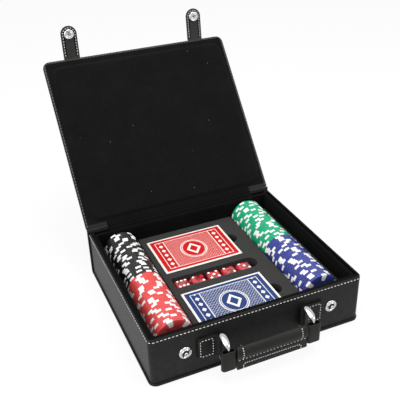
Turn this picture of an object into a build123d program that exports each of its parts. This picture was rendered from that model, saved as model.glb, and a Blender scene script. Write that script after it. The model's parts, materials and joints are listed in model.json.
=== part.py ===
from build123d import *
import math
import os

# Poker set case: a leatherette book-style case, open, with chips, dice and two boxes of cards.
# Millimetres. +X to the right, the front with the handle faces -Y, +Z up.
# The origin is the centre of the tray, on the surface that the case rests on.

# Sheet materials
leather = 0.8
velvet = 0.4
running_gap = 0.3

# Tray: board walls under leatherette, lined with velvet, on a wider bottom board
tray_width = 226.0
tray_depth = 198.0
tray_height = 52.2
tray_radius = 5.0
tray_board_wall = 2.7
tray_floor = 1.2
lining_wall = 4.0
lining_drop = 2.0
lining_radius = 2.0
overhang = 1.5
base_height = 3.0
front_corner_radius = 8.0
rear_corner_radius = 2.0
turn_in = 9.0

# Spine board behind the tray, and the leather fold that the lid turns on
spine_thickness = 2.5
spine_margin = 4.0
fold_radius = 1.0
fold_gap = 0.2

# Lid, drawn closed and then opened to the photographed angle
lid_thickness = 4.5
lid_front_overhang = 4.0
lid_gap = 1.0
lid_turn_in = 12.0
lid_edge_fillet = 1.5
lid_open_angle = 130.0
pad_thickness = 3.2
pad_side_inset = 5.0
pad_front_inset = 7.5
pad_rear_inset = 5.9
pad_bevel = 5.0
pad_radius = 2.0
border_thickness = 0.7
border_side_inset = 3.0
border_front_inset = 2.6
border_rear_inset = 5.0

# Velvet strip over the rear rim
strip_width = 180.0
strip_drop = 9.0
strip_rim_margin = 0.4
strip_lid_length = 4.3
strip_lid_start = 1.7

# Straps with snap sockets, and the studs that they close on
strap_x = 78.4
strap_width = 19.0
strap_thickness = 2.0
strap_fold_gap = 0.3
strap_lift = -1.4
strap_rest_bend = 34.0
stud_z = 28.8
stud_flange_radius = 6.5
stud_flange_height = 0.9
stud_ring_radius = 4.4
stud_ring_height = 1.9
stud_post_radius = 2.0
stud_post_height = 3.2
stud_dimple_radius = 0.9
stud_dimple_depth = 1.2
socket_radius = 5.85
socket_height = 2.1
socket_cavity_clearance = 0.45
socket_cavity_depth = 1.8
cap_radius = 6.0
cap_height = 1.3

# Handle rings and the stitched patches that hold them
ring_x = 44.8
ring_wire_radius = 1.5
ring_reach = 18.0
ring_leg_low = 13.5
ring_leg_high = 39.0
ring_rear_rise = 4.0
ring_arch_rise = 3.5
ring_arch_inner_rise = 1.5
ring_arch_width = 7.0
patch_leather = 1.4
patch_reach = 22.2
patch_low_gap = 0.5
patch_high_gap = 2.0
patch_corner_radius = 2.0
patch_taper_reach = 6.7
loop_clearance = 0.4

# Handle: a strap with a loop at each end, a padded roll and a stitched lower flap
loop_low_gap = 0.5
loop_high_gap = 3.4
loop_reach = 5.8
loop_outer_reach = 7.4
grip_end_gap = 7.6
grip_end_length = 6.5
flap_drop = 4.0
roll_centre_drop = 6.6
roll_half_height = 7.2
roll_half_thickness = 5.2
roll_end_half_thickness = 4.2
roll_end_half_height = 7.0
grip_leather = 1.4
core_leather = 1.2
flap_half_thickness = 2.7
flap_radius = 1.2

# Foam insert with its pockets. The webs between them share out the width and depth that is left.
foam_height = 29.6
pocket_clearance = 0.4
seat_gap = 0.3
trough_clearance = 2.0
trough_centre_drop = 0.7
notch_radius = 8.3
side_web = 4.0
left_web = 5.7
right_web = 12.2
rear_web = 10.3
front_web = 3.1
slot_web = 10.0
slot_inset = 0.6
slot_end_gap = 2.2
slot_finger_room = 7.1
slot_side_gap = 1.0
slot_radius = 2.5

# Boxes of cards
card_box_length = 90.4
card_box_width = 65.0
card_box_height = 17.0
card_board = 0.5
card_box_radius = 0.6
deck_end_play = 0.7
deck_side_play = 0.5
deck_radius = 3.0

# Chips: two rows of two colours, as many as leave room for a finger at the front
chip_radius = 19.5
chip_thickness = 3.3
chip_gap = 0.05
chip_chamfer = 0.35
row_rear_gap = 0.8
row_finger_room = 14.0

# Dice
die_size = 16.0
die_gap = 2.0
die_top_drop = 2.2
die_sphere_share = 0.706
pip_spacing_share = 0.28
pip_radius = 1.5
pip_depth = 0.6
dice_faces = [(6, 2, 3), (2, 3, 1), (5, 1, 4), (2, 4, 6), (3, 6, 5)]

# Levels and planes worked out from the driving dimensions
rim_z = base_height + tray_height
floor_z = base_height + tray_floor
foam_top = floor_z + foam_height
front_face = -tray_depth / 2
rear_face = tray_depth / 2
outer_wall = leather + tray_board_wall
inner_width = tray_width - 2 * (outer_wall + lining_wall)
inner_depth = tray_depth - 2 * (outer_wall + lining_wall)
base_width = tray_width + 2 * overhang
base_front = front_face - overhang
base_rear = rear_face + spine_thickness
lid_low = rim_z + lid_gap
hinge_y = base_rear - fold_radius + 0.1
hinge_z = lid_low
lid_front = front_face - lid_front_overhang
lid_rear = hinge_y - fold_radius - fold_gap
strap_fold_y = lid_front - strap_thickness / 2 - strap_fold_gap
strap_fold_z = lid_low + strap_lift + strap_thickness / 2
snap_reach = strap_fold_z - stud_z
patch_outer_x = ring_x + patch_reach
patch_taper_end = ring_x + patch_taper_reach
patch_low = ring_leg_low + ring_rear_rise + patch_low_gap
patch_high = ring_leg_high + ring_rear_rise - patch_high_gap
loop_outer_x = ring_x + loop_outer_reach
loop_inner_x = ring_x - loop_reach
loop_low = ring_leg_low + loop_low_gap
loop_high = ring_leg_high - loop_high_gap
grip_half_length = ring_x - grip_end_gap
grip_low = loop_low - flap_drop
roll_half_length = grip_half_length - grip_end_length
roll_centre_z = loop_high - roll_centre_drop
core_high = roll_centre_z + roll_half_height - core_leather
loop_hole_radius = ring_wire_radius + loop_clearance
loop_radius = loop_hole_radius + patch_leather
ring_back_y = front_face - loop_radius
ring_front_y = ring_back_y - ring_reach
trough_radius = chip_radius + trough_clearance
trough_z = foam_top - trough_centre_drop
chip_z = trough_z - trough_radius + seat_gap + chip_radius
chip_pitch = chip_thickness + chip_gap
row_rear = inner_depth / 2 - row_rear_gap
row_length = inner_depth - row_rear_gap - running_gap - row_finger_room
chips_per_colour = int(row_length / (2 * chip_pitch))
deck_length = card_box_length - 2 * (card_board + deck_end_play)
deck_width = card_box_width - 2 * (card_board + deck_side_play)
deck_height = card_box_height - 2 * (card_board + seat_gap)
card_box_low = foam_top - card_box_height
die_top = foam_top - die_top_drop
die_pitch = die_size + die_gap
slot_floor = die_top - die_size - seat_gap
slot_width = die_size + 2 * slot_side_gap

# How the foam's spare width and depth are shared out among its webs
spare_width = inner_width - 4 * trough_radius - card_box_length - pocket_clearance - notch_radius
web_width_share = spare_width / (2 * side_web + left_web + right_web)
row_x = inner_width / 2 - side_web * web_width_share - trough_radius
pocket_left = left_web * web_width_share - (row_x - trough_radius)
card_box_x = pocket_left + pocket_clearance + card_box_length / 2
slot_left = pocket_left + slot_inset
die_first_x = slot_left + slot_end_gap + die_size / 2
slot_right = die_first_x + (len(dice_faces) - 0.5) * die_pitch - die_gap / 2 + slot_finger_room
spare_depth = inner_depth - 2 * (card_box_width + 2 * pocket_clearance) - slot_width
web_depth_share = spare_depth / (front_web + 2 * slot_web + rear_web)
web_depth = slot_web * web_depth_share
blue_box_y = front_web * web_depth_share + pocket_clearance + (card_box_width - inner_depth) / 2
slot_y = blue_box_y + card_box_width / 2 + pocket_clearance + web_depth + slot_width / 2
red_box_y = slot_y + slot_width / 2 + web_depth + pocket_clearance + card_box_width / 2


def outline(width, front, rear, front_radius, rear_radius):
    """A board's outline with its own corner radius at the front and at the rear."""
    face = Pos(0, (front + rear) / 2) * Rectangle(width, rear - front)
    face = fillet(face.vertices().sort_by(Axis.Y)[:2], front_radius)
    return fillet(face.vertices().sort_by(Axis.Y)[-2:], rear_radius)


def block(width, depth, low, high, radius, x=0.0, y=0.0):
    """An upright block with rounded vertical edges between two heights."""
    return Pos(x, y, low) * extrude(RectangleRounded(width, depth, radius), high - low)


def slab(face, low, high):
    """A flat outline made into a slab between two heights."""
    return Pos(0, 0, low) * extrude(face, high - low)


def along_x(section, half_length):
    """A section drawn in (y, z) made into a bar along X, centred on x = 0."""
    return Plane.YZ.offset(-half_length) * extrude(section, 2 * half_length)


def tray_cover():
    """Leatherette over the outside of the walls and over the rim."""
    outside = block(tray_width, tray_depth, base_height, rim_z, tray_radius)
    core_radius = tray_radius - leather
    core = block(tray_width - 2 * leather, tray_depth - 2 * leather, 0, rim_z - leather, core_radius)
    opening = block(tray_width - 2 * outer_wall, tray_depth - 2 * outer_wall, 0, rim_z + 1, lining_radius)
    shell = outside - core - opening
    rim = shell.edges().filter_by(GeomType.LINE).group_by(Axis.Z)[-1]
    return fillet(rim, leather * 0.6)


def tray_board():
    """Board walls and floor under the leatherette. The floor fills the bottom cover's turned-in edge."""
    width = tray_width - 2 * leather
    depth = tray_depth - 2 * leather
    walls = block(width, depth, base_height, rim_z - leather, tray_radius - leather)
    inside = block(tray_width - 2 * outer_wall, tray_depth - 2 * outer_wall, floor_z, rim_z, lining_radius)
    plug_low = base_height - leather
    plug = slab(turned_in_outline(), plug_low, base_height)
    return walls - inside + plug


def turned_in_outline():
    """The opening that the turned-in leather leaves on top of the bottom board."""
    front = base_front + turn_in
    rear = rear_face - turn_in
    return outline(base_width - 2 * turn_in, front, rear, rear_corner_radius, rear_corner_radius)


def tray_lining():
    """Velvet-covered inner walls, a little lower than the rim."""
    top = rim_z - lining_drop
    outside = block(tray_width - 2 * outer_wall, tray_depth - 2 * outer_wall, floor_z, top, lining_radius)
    return outside - block(inner_width, inner_depth, 0, rim_z, lining_radius)


def base_cover():
    """Leatherette round the bottom board and up over the spine board, in one piece."""
    face = outline(base_width, base_front, base_rear, front_corner_radius, rear_corner_radius)
    bottom = slab(face, 0, base_height)
    spine = Pos(0, (rear_face + base_rear) / 2, base_height) * Box(
        base_width, spine_thickness, spine_top() - base_height, align=(Align.CENTER, Align.CENTER, Align.MIN)
    )
    opening = slab(turned_in_outline(), base_height - leather, base_height + 1)
    return bottom + spine - bottom_board() - spine_board() - opening


def spine_top():
    """The spine stops under the leather fold."""
    return hinge_z - fold_radius


def bottom_board():
    """Greyboard inside the bottom cover."""
    face = outline(
        base_width - 2 * leather,
        base_front + leather,
        base_rear - spine_thickness,
        front_corner_radius - leather,
        rear_corner_radius,
    )
    return slab(face, leather, base_height - leather)


def spine_board():
    """Greyboard inside the spine, against the tray's rear wall."""
    depth = spine_thickness - leather
    height = spine_top() - base_height - spine_margin
    return Pos(0, rear_face + depth / 2, base_height) * Box(
        tray_width - 2 * spine_margin, depth, height, align=(Align.CENTER, Align.CENTER, Align.MIN)
    )


def leather_fold():
    """The fold of leatherette on the spine's top edge, which is the lid's hinge."""
    return Pos(0, hinge_y, hinge_z) * Rot(0, 90, 0) * Cylinder(fold_radius, base_width)


def rim_strip():
    """Velvet down the rear lining, over its top and over the rear rim."""
    inner = inner_depth / 2
    step = inner + lining_wall
    top = rim_z - lining_drop
    outer = rear_face - strip_rim_margin
    points = [
        (inner, top - strip_drop),
        (inner, top),
        (step, top),
        (step, rim_z),
        (outer, rim_z),
        (outer, rim_z + velvet),
        (step - velvet, rim_z + velvet),
        (step - velvet, top + velvet),
        (inner - velvet, top + velvet),
        (inner - velvet, top - strip_drop),
    ]
    return along_x(make_face(Polyline(*points, close=True)), strip_width / 2)


def foam_insert():
    """One foam block with two chip troughs, two card pockets, their finger notches and the dice slot."""
    foam = block(inner_width, inner_depth, floor_z, foam_top, lining_radius)
    trough = Rot(90, 0, 0) * Cylinder(trough_radius, inner_depth + 2)
    for side in (-1, 1):
        foam -= Pos(side * row_x, 0, trough_z) * trough
        foam -= Pos(side * row_x, 0, foam_top) * Box(
            2 * trough_radius, inner_depth + 2, 2 * trough_centre_drop
        )
    length = card_box_length + 2 * pocket_clearance
    width = card_box_width + 2 * pocket_clearance
    low = card_box_low - seat_gap
    for y in (red_box_y, blue_box_y):
        foam -= block(length, width, low, foam_top + 1, card_box_radius, card_box_x, y)
        notch_x = card_box_x + card_box_length / 2
        foam -= Pos(notch_x, y, low) * extrude(Circle(notch_radius), foam_top - low + 1)
    slot_end_radius = slot_width / 2
    slot_end_x = slot_right - slot_end_radius
    slot_length = slot_end_x - slot_left
    slot_x = (slot_end_x + slot_left) / 2
    foam -= block(slot_length + slot_radius, slot_width, slot_floor, foam_top + 1, slot_radius,
                  slot_x + slot_radius / 2, slot_y)
    slot_height = foam_top + 1 - slot_floor
    foam -= Pos(slot_end_x, slot_y, slot_floor + slot_height / 2) * Cylinder(slot_end_radius, slot_height)
    return foam


def stud():
    """Snap stud, drawn with its axis along +Z from the leather: flange, raised ring and dimpled post."""
    upright = (Align.CENTER, Align.CENTER, Align.MIN)
    flange = Cylinder(stud_flange_radius, stud_flange_height, align=upright)
    flange = fillet(flange.edges().group_by(Axis.Z)[-1], stud_flange_height * 0.6)
    ring = Cylinder(stud_ring_radius, stud_ring_height, align=upright)
    ring = chamfer(ring.edges().group_by(Axis.Z)[-1], (stud_ring_height - stud_flange_height) * 0.4)
    post = Cylinder(stud_post_radius, stud_post_height, align=upright)
    post = fillet(post.edges().group_by(Axis.Z)[-1], stud_post_radius * 0.3)
    dimple = Pos(0, 0, stud_post_height - stud_dimple_depth) * Cylinder(
        stud_dimple_radius, stud_post_height, align=upright
    )
    return flange + ring + post - dimple


def patch():
    """Leather patch sewn to the front on the right, with a loop round the ring's rear leg."""
    double = 2 * patch_leather
    loop_front = ring_back_y - loop_radius
    points = [
        (ring_x, front_face),
        (patch_outer_x, front_face),
        (patch_outer_x, front_face - double),
        (patch_taper_end, front_face - double),
        (ring_x, loop_front),
    ]
    plan = make_face(Polyline(*points, close=True)) + Pos(ring_x, ring_back_y) * Circle(loop_radius)
    plan -= Pos(ring_x, ring_back_y) * Circle(loop_hole_radius)
    solid = slab(plan, patch_low, patch_high)
    corners = solid.edges().filter_by(Axis.Y).group_by(Axis.X)[-1]
    return fillet(corners, patch_corner_radius)


def ring():
    """Chromed oval ring on the right: two upright legs joined by a leaf-shaped arch above and below.
    It hangs with its rear leg higher, so both arches slant up to the rear."""
    leg = Cylinder(ring_wire_radius, ring_leg_high - ring_leg_low)
    front_leg_z = (ring_leg_high + ring_leg_low) / 2
    rear_leg_z = front_leg_z + ring_rear_rise
    middle_z = front_leg_z + ring_rear_rise / 2
    middle_y = (ring_back_y + ring_front_y) / 2
    legs = Pos(ring_x, ring_back_y, rear_leg_z) * leg + Pos(ring_x, ring_front_y, front_leg_z) * leg
    slant = Rot(math.degrees(math.atan2(ring_rear_rise, ring_reach)), 0, 0)
    half = math.hypot(ring_reach, ring_rear_rise) / 2
    outer_half = half + ring_wire_radius
    inner_half = half - ring_wire_radius
    crescent = make_face(
        [
            ThreePointArc((-outer_half, 0), (0, ring_arch_rise), (outer_half, 0)),
            Line((outer_half, 0), (inner_half, 0)),
            ThreePointArc((inner_half, 0), (0, ring_arch_inner_rise), (-inner_half, 0)),
            Line((-inner_half, 0), (-outer_half, 0)),
        ]
    )
    arch = along_x(crescent, ring_arch_width)
    half_width = ring_arch_width / 2
    end_half = ring_wire_radius * 0.6
    tip = half + ring_wire_radius
    leaf = make_face(
        [
            ThreePointArc((-end_half, -tip), (-half_width, 0), (-end_half, tip)),
            Line((-end_half, tip), (end_half, tip)),
            ThreePointArc((end_half, tip), (half_width, 0), (end_half, -tip)),
            Line((end_half, -tip), (-end_half, -tip)),
        ]
    )
    arch &= slab(leaf, -1, ring_arch_rise + 1)
    leg_half = (ring_leg_high - ring_leg_low) / 2
    top = Pos(ring_x, middle_y, middle_z + leg_half) * slant * arch
    bottom = Pos(ring_x, middle_y, middle_z - leg_half) * slant * Rot(180, 0, 0) * arch
    return legs + top + bottom


def handle_strap():
    """The handle's leather strap: a doubled core with a flattened loop round each ring's front leg.
    The core is trimmed a little lower than the loops, to fit inside the roll."""
    loop_half = loop_radius
    core = Box(2 * loop_inner_x, 2 * patch_leather, core_high - loop_low)
    strap = Pos(0, 0, (core_high - loop_high) / 2) * core
    loop_length = loop_outer_x - (loop_inner_x - patch_leather)
    hole_length = loop_length - 2 * patch_leather
    loop_centre = loop_outer_x - loop_length / 2
    for side in (-1, 1):
        loop = extrude(SlotOverall(loop_length, 2 * loop_half), loop_high - loop_low)
        hole = extrude(SlotOverall(hole_length, 2 * loop_hole_radius), loop_high - loop_low)
        centre = Pos(side * loop_centre, 0, (loop_low - loop_high) / 2)
        strap = strap + centre * loop - centre * hole
    return Pos(0, ring_front_y, (loop_low + loop_high) / 2) * strap


def roll_section(half_thickness, half_height):
    """The padded roll's oval section in (y, z)."""
    return Pos(ring_front_y, roll_centre_z) * Ellipse(half_thickness, half_height)


def handle_padding():
    """Two strips of padding, one on each side of the strap, inside the roll."""
    half_thickness = roll_half_thickness - grip_leather
    half_height = roll_half_height - grip_leather
    roll = along_x(roll_section(half_thickness, half_height), roll_half_length - grip_leather)
    return roll - handle_core_space()


def handle_core_space():
    """The space that the strap's doubled core takes inside the grip."""
    return Pos(0, ring_front_y, (loop_low + core_high) / 2) * Box(
        2 * grip_half_length + 1, 2 * patch_leather, core_high - loop_low
    )


def handle_grip():
    """The leather wrapped round strap and padding, and sewn together below as a flat flap."""
    flap_top = roll_centre_z
    flap_height = flap_top - grip_low
    flap_face = RectangleRounded(2 * flap_half_thickness, flap_height, flap_radius)
    flap = Pos(ring_front_y, grip_low + flap_height / 2) * flap_face
    ends = roll_section(roll_end_half_thickness, roll_end_half_height)
    grip = along_x(roll_section(roll_half_thickness, roll_half_height), roll_half_length)
    grip += along_x(ends, grip_half_length)
    grip += along_x(flap, grip_half_length)
    grip -= handle_core_space()
    half_thickness = roll_half_thickness - grip_leather
    half_height = roll_half_height - grip_leather
    grip -= along_x(roll_section(half_thickness, half_height), roll_half_length - grip_leather)
    return grip


def lid_outline(inset):
    """The lid's outline, or one inset from it."""
    return outline(
        base_width - 2 * inset,
        lid_front + inset,
        lid_rear - inset,
        max(front_corner_radius - inset, 1.0),
        max(rear_corner_radius - inset, 1.0),
    )


def lid_board():
    """Greyboard inside the lid's cover."""
    return slab(lid_outline(leather), lid_low + leather, lid_low + lid_thickness - leather)


def lid_cover():
    """Leatherette over the lid, turned in all round its underside."""
    cover = slab(lid_outline(0), lid_low, lid_low + lid_thickness)
    top = cover.edges().group_by(Axis.Z)[-1]
    cover = fillet(top, min(lid_edge_fillet, lid_thickness * 0.4))
    return cover - lid_board() - slab(lid_outline(lid_turn_in), lid_low - 1, lid_low + leather)


def pad_outline():
    """The pad's outline on the lid's underside."""
    half = base_width / 2 - pad_side_inset
    front = lid_front + pad_front_inset
    rear = lid_rear - pad_rear_inset
    return outline(2 * half, front, rear, pad_radius, pad_radius)


def lid_border():
    """Flat velvet border round the pad, which reaches over the rim and leaves the lid's edge bare."""
    half = base_width / 2 - border_side_inset
    front = lid_front + border_front_inset
    rear = lid_rear - border_rear_inset
    face = outline(2 * half, front, rear, pad_radius, pad_radius) - pad_outline()
    return slab(face, lid_low - border_thickness, lid_low)


def lid_pad():
    """Velvet-covered pad on the lid's underside, with a bevelled edge."""
    half = base_width / 2 - pad_side_inset
    front = lid_front + pad_front_inset
    rear = lid_rear - pad_rear_inset
    narrow_half = half - pad_bevel
    narrow_front = front + pad_bevel
    narrow_rear = rear - pad_bevel
    narrow_radius = max(pad_radius - pad_bevel, 1.0)
    narrow = outline(2 * narrow_half, narrow_front, narrow_rear, narrow_radius, narrow_radius)
    wide = Pos(0, 0, lid_low) * pad_outline()
    pad = loft([wide, Pos(0, 0, lid_low - pad_thickness) * narrow], ruled=True)
    return pad + slab(lid_outline(lid_turn_in + running_gap), lid_low, lid_low + leather)


def lid_strip():
    """The end of the velvet strip that is glued to the lid, between the pad and the fold."""
    rear = hinge_y - strip_lid_start
    return Pos(0, rear - strip_lid_length / 2, lid_low - velvet / 2) * Box(
        strip_width, strip_lid_length, velvet
    )


def strap(side):
    """Leather strap, straight, with a round tip and a rounded fold at the lid's edge."""
    x = side * strap_x
    straight = Pos(x, strap_fold_y - snap_reach / 2) * Rectangle(strap_width, snap_reach)
    face = straight + Pos(x, strap_fold_y - snap_reach) * Circle(strap_width / 2)
    low = strap_fold_z - strap_thickness / 2
    body = slab(face, low, low + strap_thickness)
    knuckle = Pos(x, strap_fold_y, strap_fold_z) * Rot(0, 90, 0) * Cylinder(strap_thickness / 2, strap_width)
    return body + knuckle


def snap_socket(side):
    """Snap socket on the strap's inner side: a chromed ring with a cavity for the stud."""
    upright = (Align.CENTER, Align.CENTER, Align.MIN)
    body = Cylinder(socket_radius, socket_height, align=upright)
    body = fillet(body.edges().group_by(Axis.Z)[-1], socket_height * 0.35)
    cavity = Pos(0, 0, socket_height - socket_cavity_depth) * Cylinder(
        stud_post_radius + socket_cavity_clearance, socket_height, align=upright
    )
    low = strap_fold_z - strap_thickness / 2
    return Pos(side * strap_x, strap_fold_y - snap_reach, low) * Rot(180, 0, 0) * (body - cavity)


def snap_cap(side):
    """Domed cap of the snap on the strap's outer side."""
    upright = (Align.CENTER, Align.CENTER, Align.MIN)
    cap = Cylinder(cap_radius, cap_height, align=upright)
    cap = fillet(cap.edges().group_by(Axis.Z)[-1], cap_height * 0.8)
    high = strap_fold_z + strap_thickness / 2
    return Pos(side * strap_x, strap_fold_y - snap_reach, high) * cap


def opened(part):
    """A part drawn on the closed lid, turned open about the fold."""
    turn = Pos(0, hinge_y, hinge_z) * Rot(-lid_open_angle, 0, 0) * Pos(0, -hinge_y, -hinge_z)
    return turn * part


def bent(part):
    """A strap's piece, drawn straight, turned down about the fold by the bend that the strap rests in."""
    turn = Pos(0, strap_fold_y, strap_fold_z) * Rot(strap_rest_bend, 0, 0)
    return turn * Pos(0, -strap_fold_y, -strap_fold_z) * part


def card_box(y):
    """Tuck box of cards, closed, lying flat in its pocket."""
    high = card_box_low + card_box_height
    box = block(card_box_length, card_box_width, card_box_low, high, card_box_radius, card_box_x, y)
    inner_length = card_box_length - 2 * card_board
    inner_box_width = card_box_width - 2 * card_board
    inside = Pos(card_box_x, y, (card_box_low + high) / 2) * Box(
        inner_length, inner_box_width, card_box_height - 2 * card_board
    )
    return box - inside


def card_deck(y):
    """The deck inside its box."""
    low = card_box_low + card_board + seat_gap
    return block(deck_length, deck_width, low, low + deck_height, deck_radius, card_box_x, y)


def chip_group(side, rear):
    """Chips of one colour, standing on edge in a row towards the front."""
    chip = chamfer(Cylinder(chip_radius, chip_thickness).edges(), chip_chamfer)
    chip = Rot(90, 0, 0) * chip
    places = [rear - (index + 0.5) * chip_pitch for index in range(chips_per_colour)]
    return [Pos(side * row_x, y, chip_z) * chip for y in places]


def pip_places(count):
    """Where the pips of one face lie, in steps from its centre."""
    diagonal = [(-1, 1), (1, -1)]
    other_diagonal = [(-1, -1), (1, 1)]
    sides = [(0, -1), (0, 1)]
    places = [(0, 0)] if count % 2 else []
    if count > 1:
        places += diagonal
    if count > 3:
        places += other_diagonal
    if count > 5:
        places += sides
    return places


def die(number, x):
    """One die with rounded corners and its pips as shallow dimples."""
    body = Box(die_size, die_size, die_size) & Sphere(die_size * die_sphere_share)
    half = die_size / 2
    step = die_size * pip_spacing_share
    ball = (pip_radius**2 + pip_depth**2) / (2 * pip_depth)
    top, front, right = number
    turns = [
        (top, Rot(0, 0, 0)),
        (7 - top, Rot(180, 0, 0)),
        (front, Rot(90, 0, 0)),
        (7 - front, Rot(-90, 0, 0)),
        (right, Rot(0, 90, 0)),
        (7 - right, Rot(0, -90, 0)),
    ]
    for count, turn in turns:
        for across, along in pip_places(count):
            body -= turn * Pos(across * step, along * step, half - pip_depth + ball) * Sphere(ball)
    return Pos(x, slot_y, die_top - half) * body


def save(name, pieces):
    """Writes one named piece, or a group of like pieces, to its own file."""
    solids = []
    for piece in pieces:
        solids += piece.solids()
    shape = solids[0] if len(solids) == 1 else Compound(children=solids)
    shape.label = name
    export_step(shape, os.path.join("parts", name + ".step"))


def main():
    os.makedirs("parts", exist_ok=True)
    save("base_cover", [base_cover()])
    save("bottom_board", [bottom_board()])
    save("spine_board", [spine_board()])
    save("tray_cover", [tray_cover()])
    save("tray_board", [tray_board()])
    save("tray_lining", [tray_lining()])
    save("foam_insert", [foam_insert()])
    save("leather_fold", [leather_fold()])
    save("rim_strip", [rim_strip()])

    right_patch = patch()
    right_ring = ring()
    save("patch_right", [right_patch])
    save("patch_left", [mirror(right_patch, about=Plane.YZ)])
    save("ring_right", [right_ring])
    save("ring_left", [mirror(right_ring, about=Plane.YZ)])
    save("handle_strap", [handle_strap()])
    save("handle_padding", [handle_padding()])
    save("handle_grip", [handle_grip()])

    save("lid_cover", [opened(lid_cover())])
    save("lid_board", [opened(lid_board())])
    save("lid_pad", [opened(lid_pad())])
    save("lid_border", [opened(lid_border())])
    save("lid_strip", [opened(lid_strip())])
    for side, label in ((-1, "left"), (1, "right")):
        place = Pos(side * strap_x, front_face, stud_z) * Rot(90, 0, 0)
        save("stud_" + label, [place * stud()])
        save("strap_" + label, [opened(bent(strap(side)))])
        save("snap_socket_" + label, [opened(bent(snap_socket(side)))])
        save("snap_cap_" + label, [opened(bent(snap_cap(side)))])

    for colour, y in (("red", red_box_y), ("blue", blue_box_y)):
        save("card_box_" + colour, [card_box(y)])
        save("card_deck_" + colour, [card_deck(y)])

    group_length = chips_per_colour * chip_pitch
    front_rear = row_rear - group_length - running_gap
    save("chips_black", chip_group(-1, row_rear))
    save("chips_red", chip_group(-1, front_rear))
    save("chips_green", chip_group(1, row_rear))
    save("chips_blue", chip_group(1, front_rear))

    for index, faces in enumerate(dice_faces):
        save("die_" + str(index + 1), [die(faces, die_first_x + index * die_pitch)])

    print("hinge axis y, z", hinge_y, hinge_z)
    turn = math.radians(lid_open_angle)
    out = strap_fold_y - hinge_y
    up = strap_fold_z - hinge_z
    fold_y = hinge_y + out * math.cos(turn) + up * math.sin(turn)
    fold_z = hinge_z - out * math.sin(turn) + up * math.cos(turn)
    print("strap fold y, z at rest", round(fold_y, 3), round(fold_z, 3))
    print("ring legs y", ring_back_y, ring_front_y, "x", ring_x)
    print("foam top", foam_top, "chip centre z", chip_z, "row", row_rear, front_rear)
    print("trough", trough_z, trough_radius, "die top", die_top, "card box low", card_box_low)


main()
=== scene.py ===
# %% [markdown]
# # A poker set case in leatherette, velvet and foam
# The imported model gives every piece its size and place. This lesson dresses it: leather gets a grain and
# stitches, velvet gets a nap, the chips get their edge spots and the metal gets its shine. All lengths are
# in metres, and millimetres are written as a number times MM.

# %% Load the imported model
import json
import math
import random

import bmesh
import bpy
from mathutils import Matrix, Vector


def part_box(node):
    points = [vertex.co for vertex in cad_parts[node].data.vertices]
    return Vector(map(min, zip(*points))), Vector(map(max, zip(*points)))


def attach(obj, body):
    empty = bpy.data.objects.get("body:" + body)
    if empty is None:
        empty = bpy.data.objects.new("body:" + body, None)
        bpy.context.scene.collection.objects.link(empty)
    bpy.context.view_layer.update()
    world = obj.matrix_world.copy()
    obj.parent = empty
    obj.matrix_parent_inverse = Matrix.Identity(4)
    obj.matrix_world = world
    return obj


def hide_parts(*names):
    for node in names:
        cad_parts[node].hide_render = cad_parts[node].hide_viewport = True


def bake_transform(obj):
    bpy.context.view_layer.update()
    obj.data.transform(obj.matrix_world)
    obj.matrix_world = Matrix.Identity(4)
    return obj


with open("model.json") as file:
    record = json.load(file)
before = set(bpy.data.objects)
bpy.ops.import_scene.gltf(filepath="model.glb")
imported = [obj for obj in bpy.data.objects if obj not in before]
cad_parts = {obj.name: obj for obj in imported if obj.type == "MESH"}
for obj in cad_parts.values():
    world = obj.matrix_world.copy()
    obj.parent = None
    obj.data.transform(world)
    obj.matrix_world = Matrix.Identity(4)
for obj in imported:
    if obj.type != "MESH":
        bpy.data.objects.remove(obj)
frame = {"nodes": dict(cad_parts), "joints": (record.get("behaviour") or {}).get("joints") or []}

scene = bpy.context.scene
nodes = frame["nodes"]
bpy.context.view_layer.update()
MM = 0.001

# %% [markdown]
# ## The camera
# A camera was fitted to the case's straight edges. Only its place, its turn and its focal length matter, so
# they are three named values. The focal length is known in pixels of a square picture and becomes
# millimetres on the sensor.

# %% Camera
PICTURE_PIXELS = 400
FOCAL_PIXELS = 666.13
SENSOR_WIDTH = 36.0
CAMERA_PLACE = (-0.23781, -0.53051, 0.45678)
CAMERA_TURN = (59.909, 1.671, -23.501)


def add_object(name, data):
    """A new object in the scene."""
    made = bpy.data.objects.new(name, data)
    scene.collection.objects.link(made)
    return made


lens = bpy.data.cameras.new("case_camera")
lens.sensor_width = SENSOR_WIDTH
lens.lens = FOCAL_PIXELS / PICTURE_PIXELS * SENSOR_WIDTH
scene.camera = add_object("case_camera", lens)
scene.camera.location = CAMERA_PLACE
scene.camera.rotation_euler = [math.radians(angle) for angle in CAMERA_TURN]
print("lens", round(lens.lens, 2))

# %% [markdown]
# ## Small helpers for nodes
# A material is a tree of nodes. These helpers add one node in one line, and feed either a plain value or
# another node's output into a socket. A socket knows its own tree, so the tree need not be named each time.

# %% Node helpers


def srgb(code):
    """A colour written as six hexadecimal digits, in the linear values that the shader wants."""
    channels = [int(code[i:i + 2], 16) / 255 for i in (0, 2, 4)]
    linear = [c / 12.92 if c <= 0.04045 else ((c + 0.055) / 1.055) ** 2.4 for c in channels]
    return (*linear, 1.0)


def feed(socket, value):
    """Links another node's output to the socket, or sets the socket's own value. A text is a colour."""
    if isinstance(value, bpy.types.NodeSocket):
        socket.id_data.links.new(value, socket)
    else:
        socket.default_value = srgb(value) if isinstance(value, str) else value


def add_node(kind, inputs, tree=None, **settings):
    """One node with its inputs and settings, in the tree that its inputs come from."""
    tree = tree or next(value.id_data for value in inputs.values() if isinstance(value, bpy.types.NodeSocket))
    node = tree.nodes.new(kind)
    for name, value in settings.items():
        setattr(node, name, value)
    for name, value in inputs.items():
        feed(node.inputs[name], value)
    return node


def calc(operation, *values):
    """One step of arithmetic on values that change over the surface."""
    return add_node("ShaderNodeMath", dict(enumerate(values)), operation=operation).outputs[0]


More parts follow.
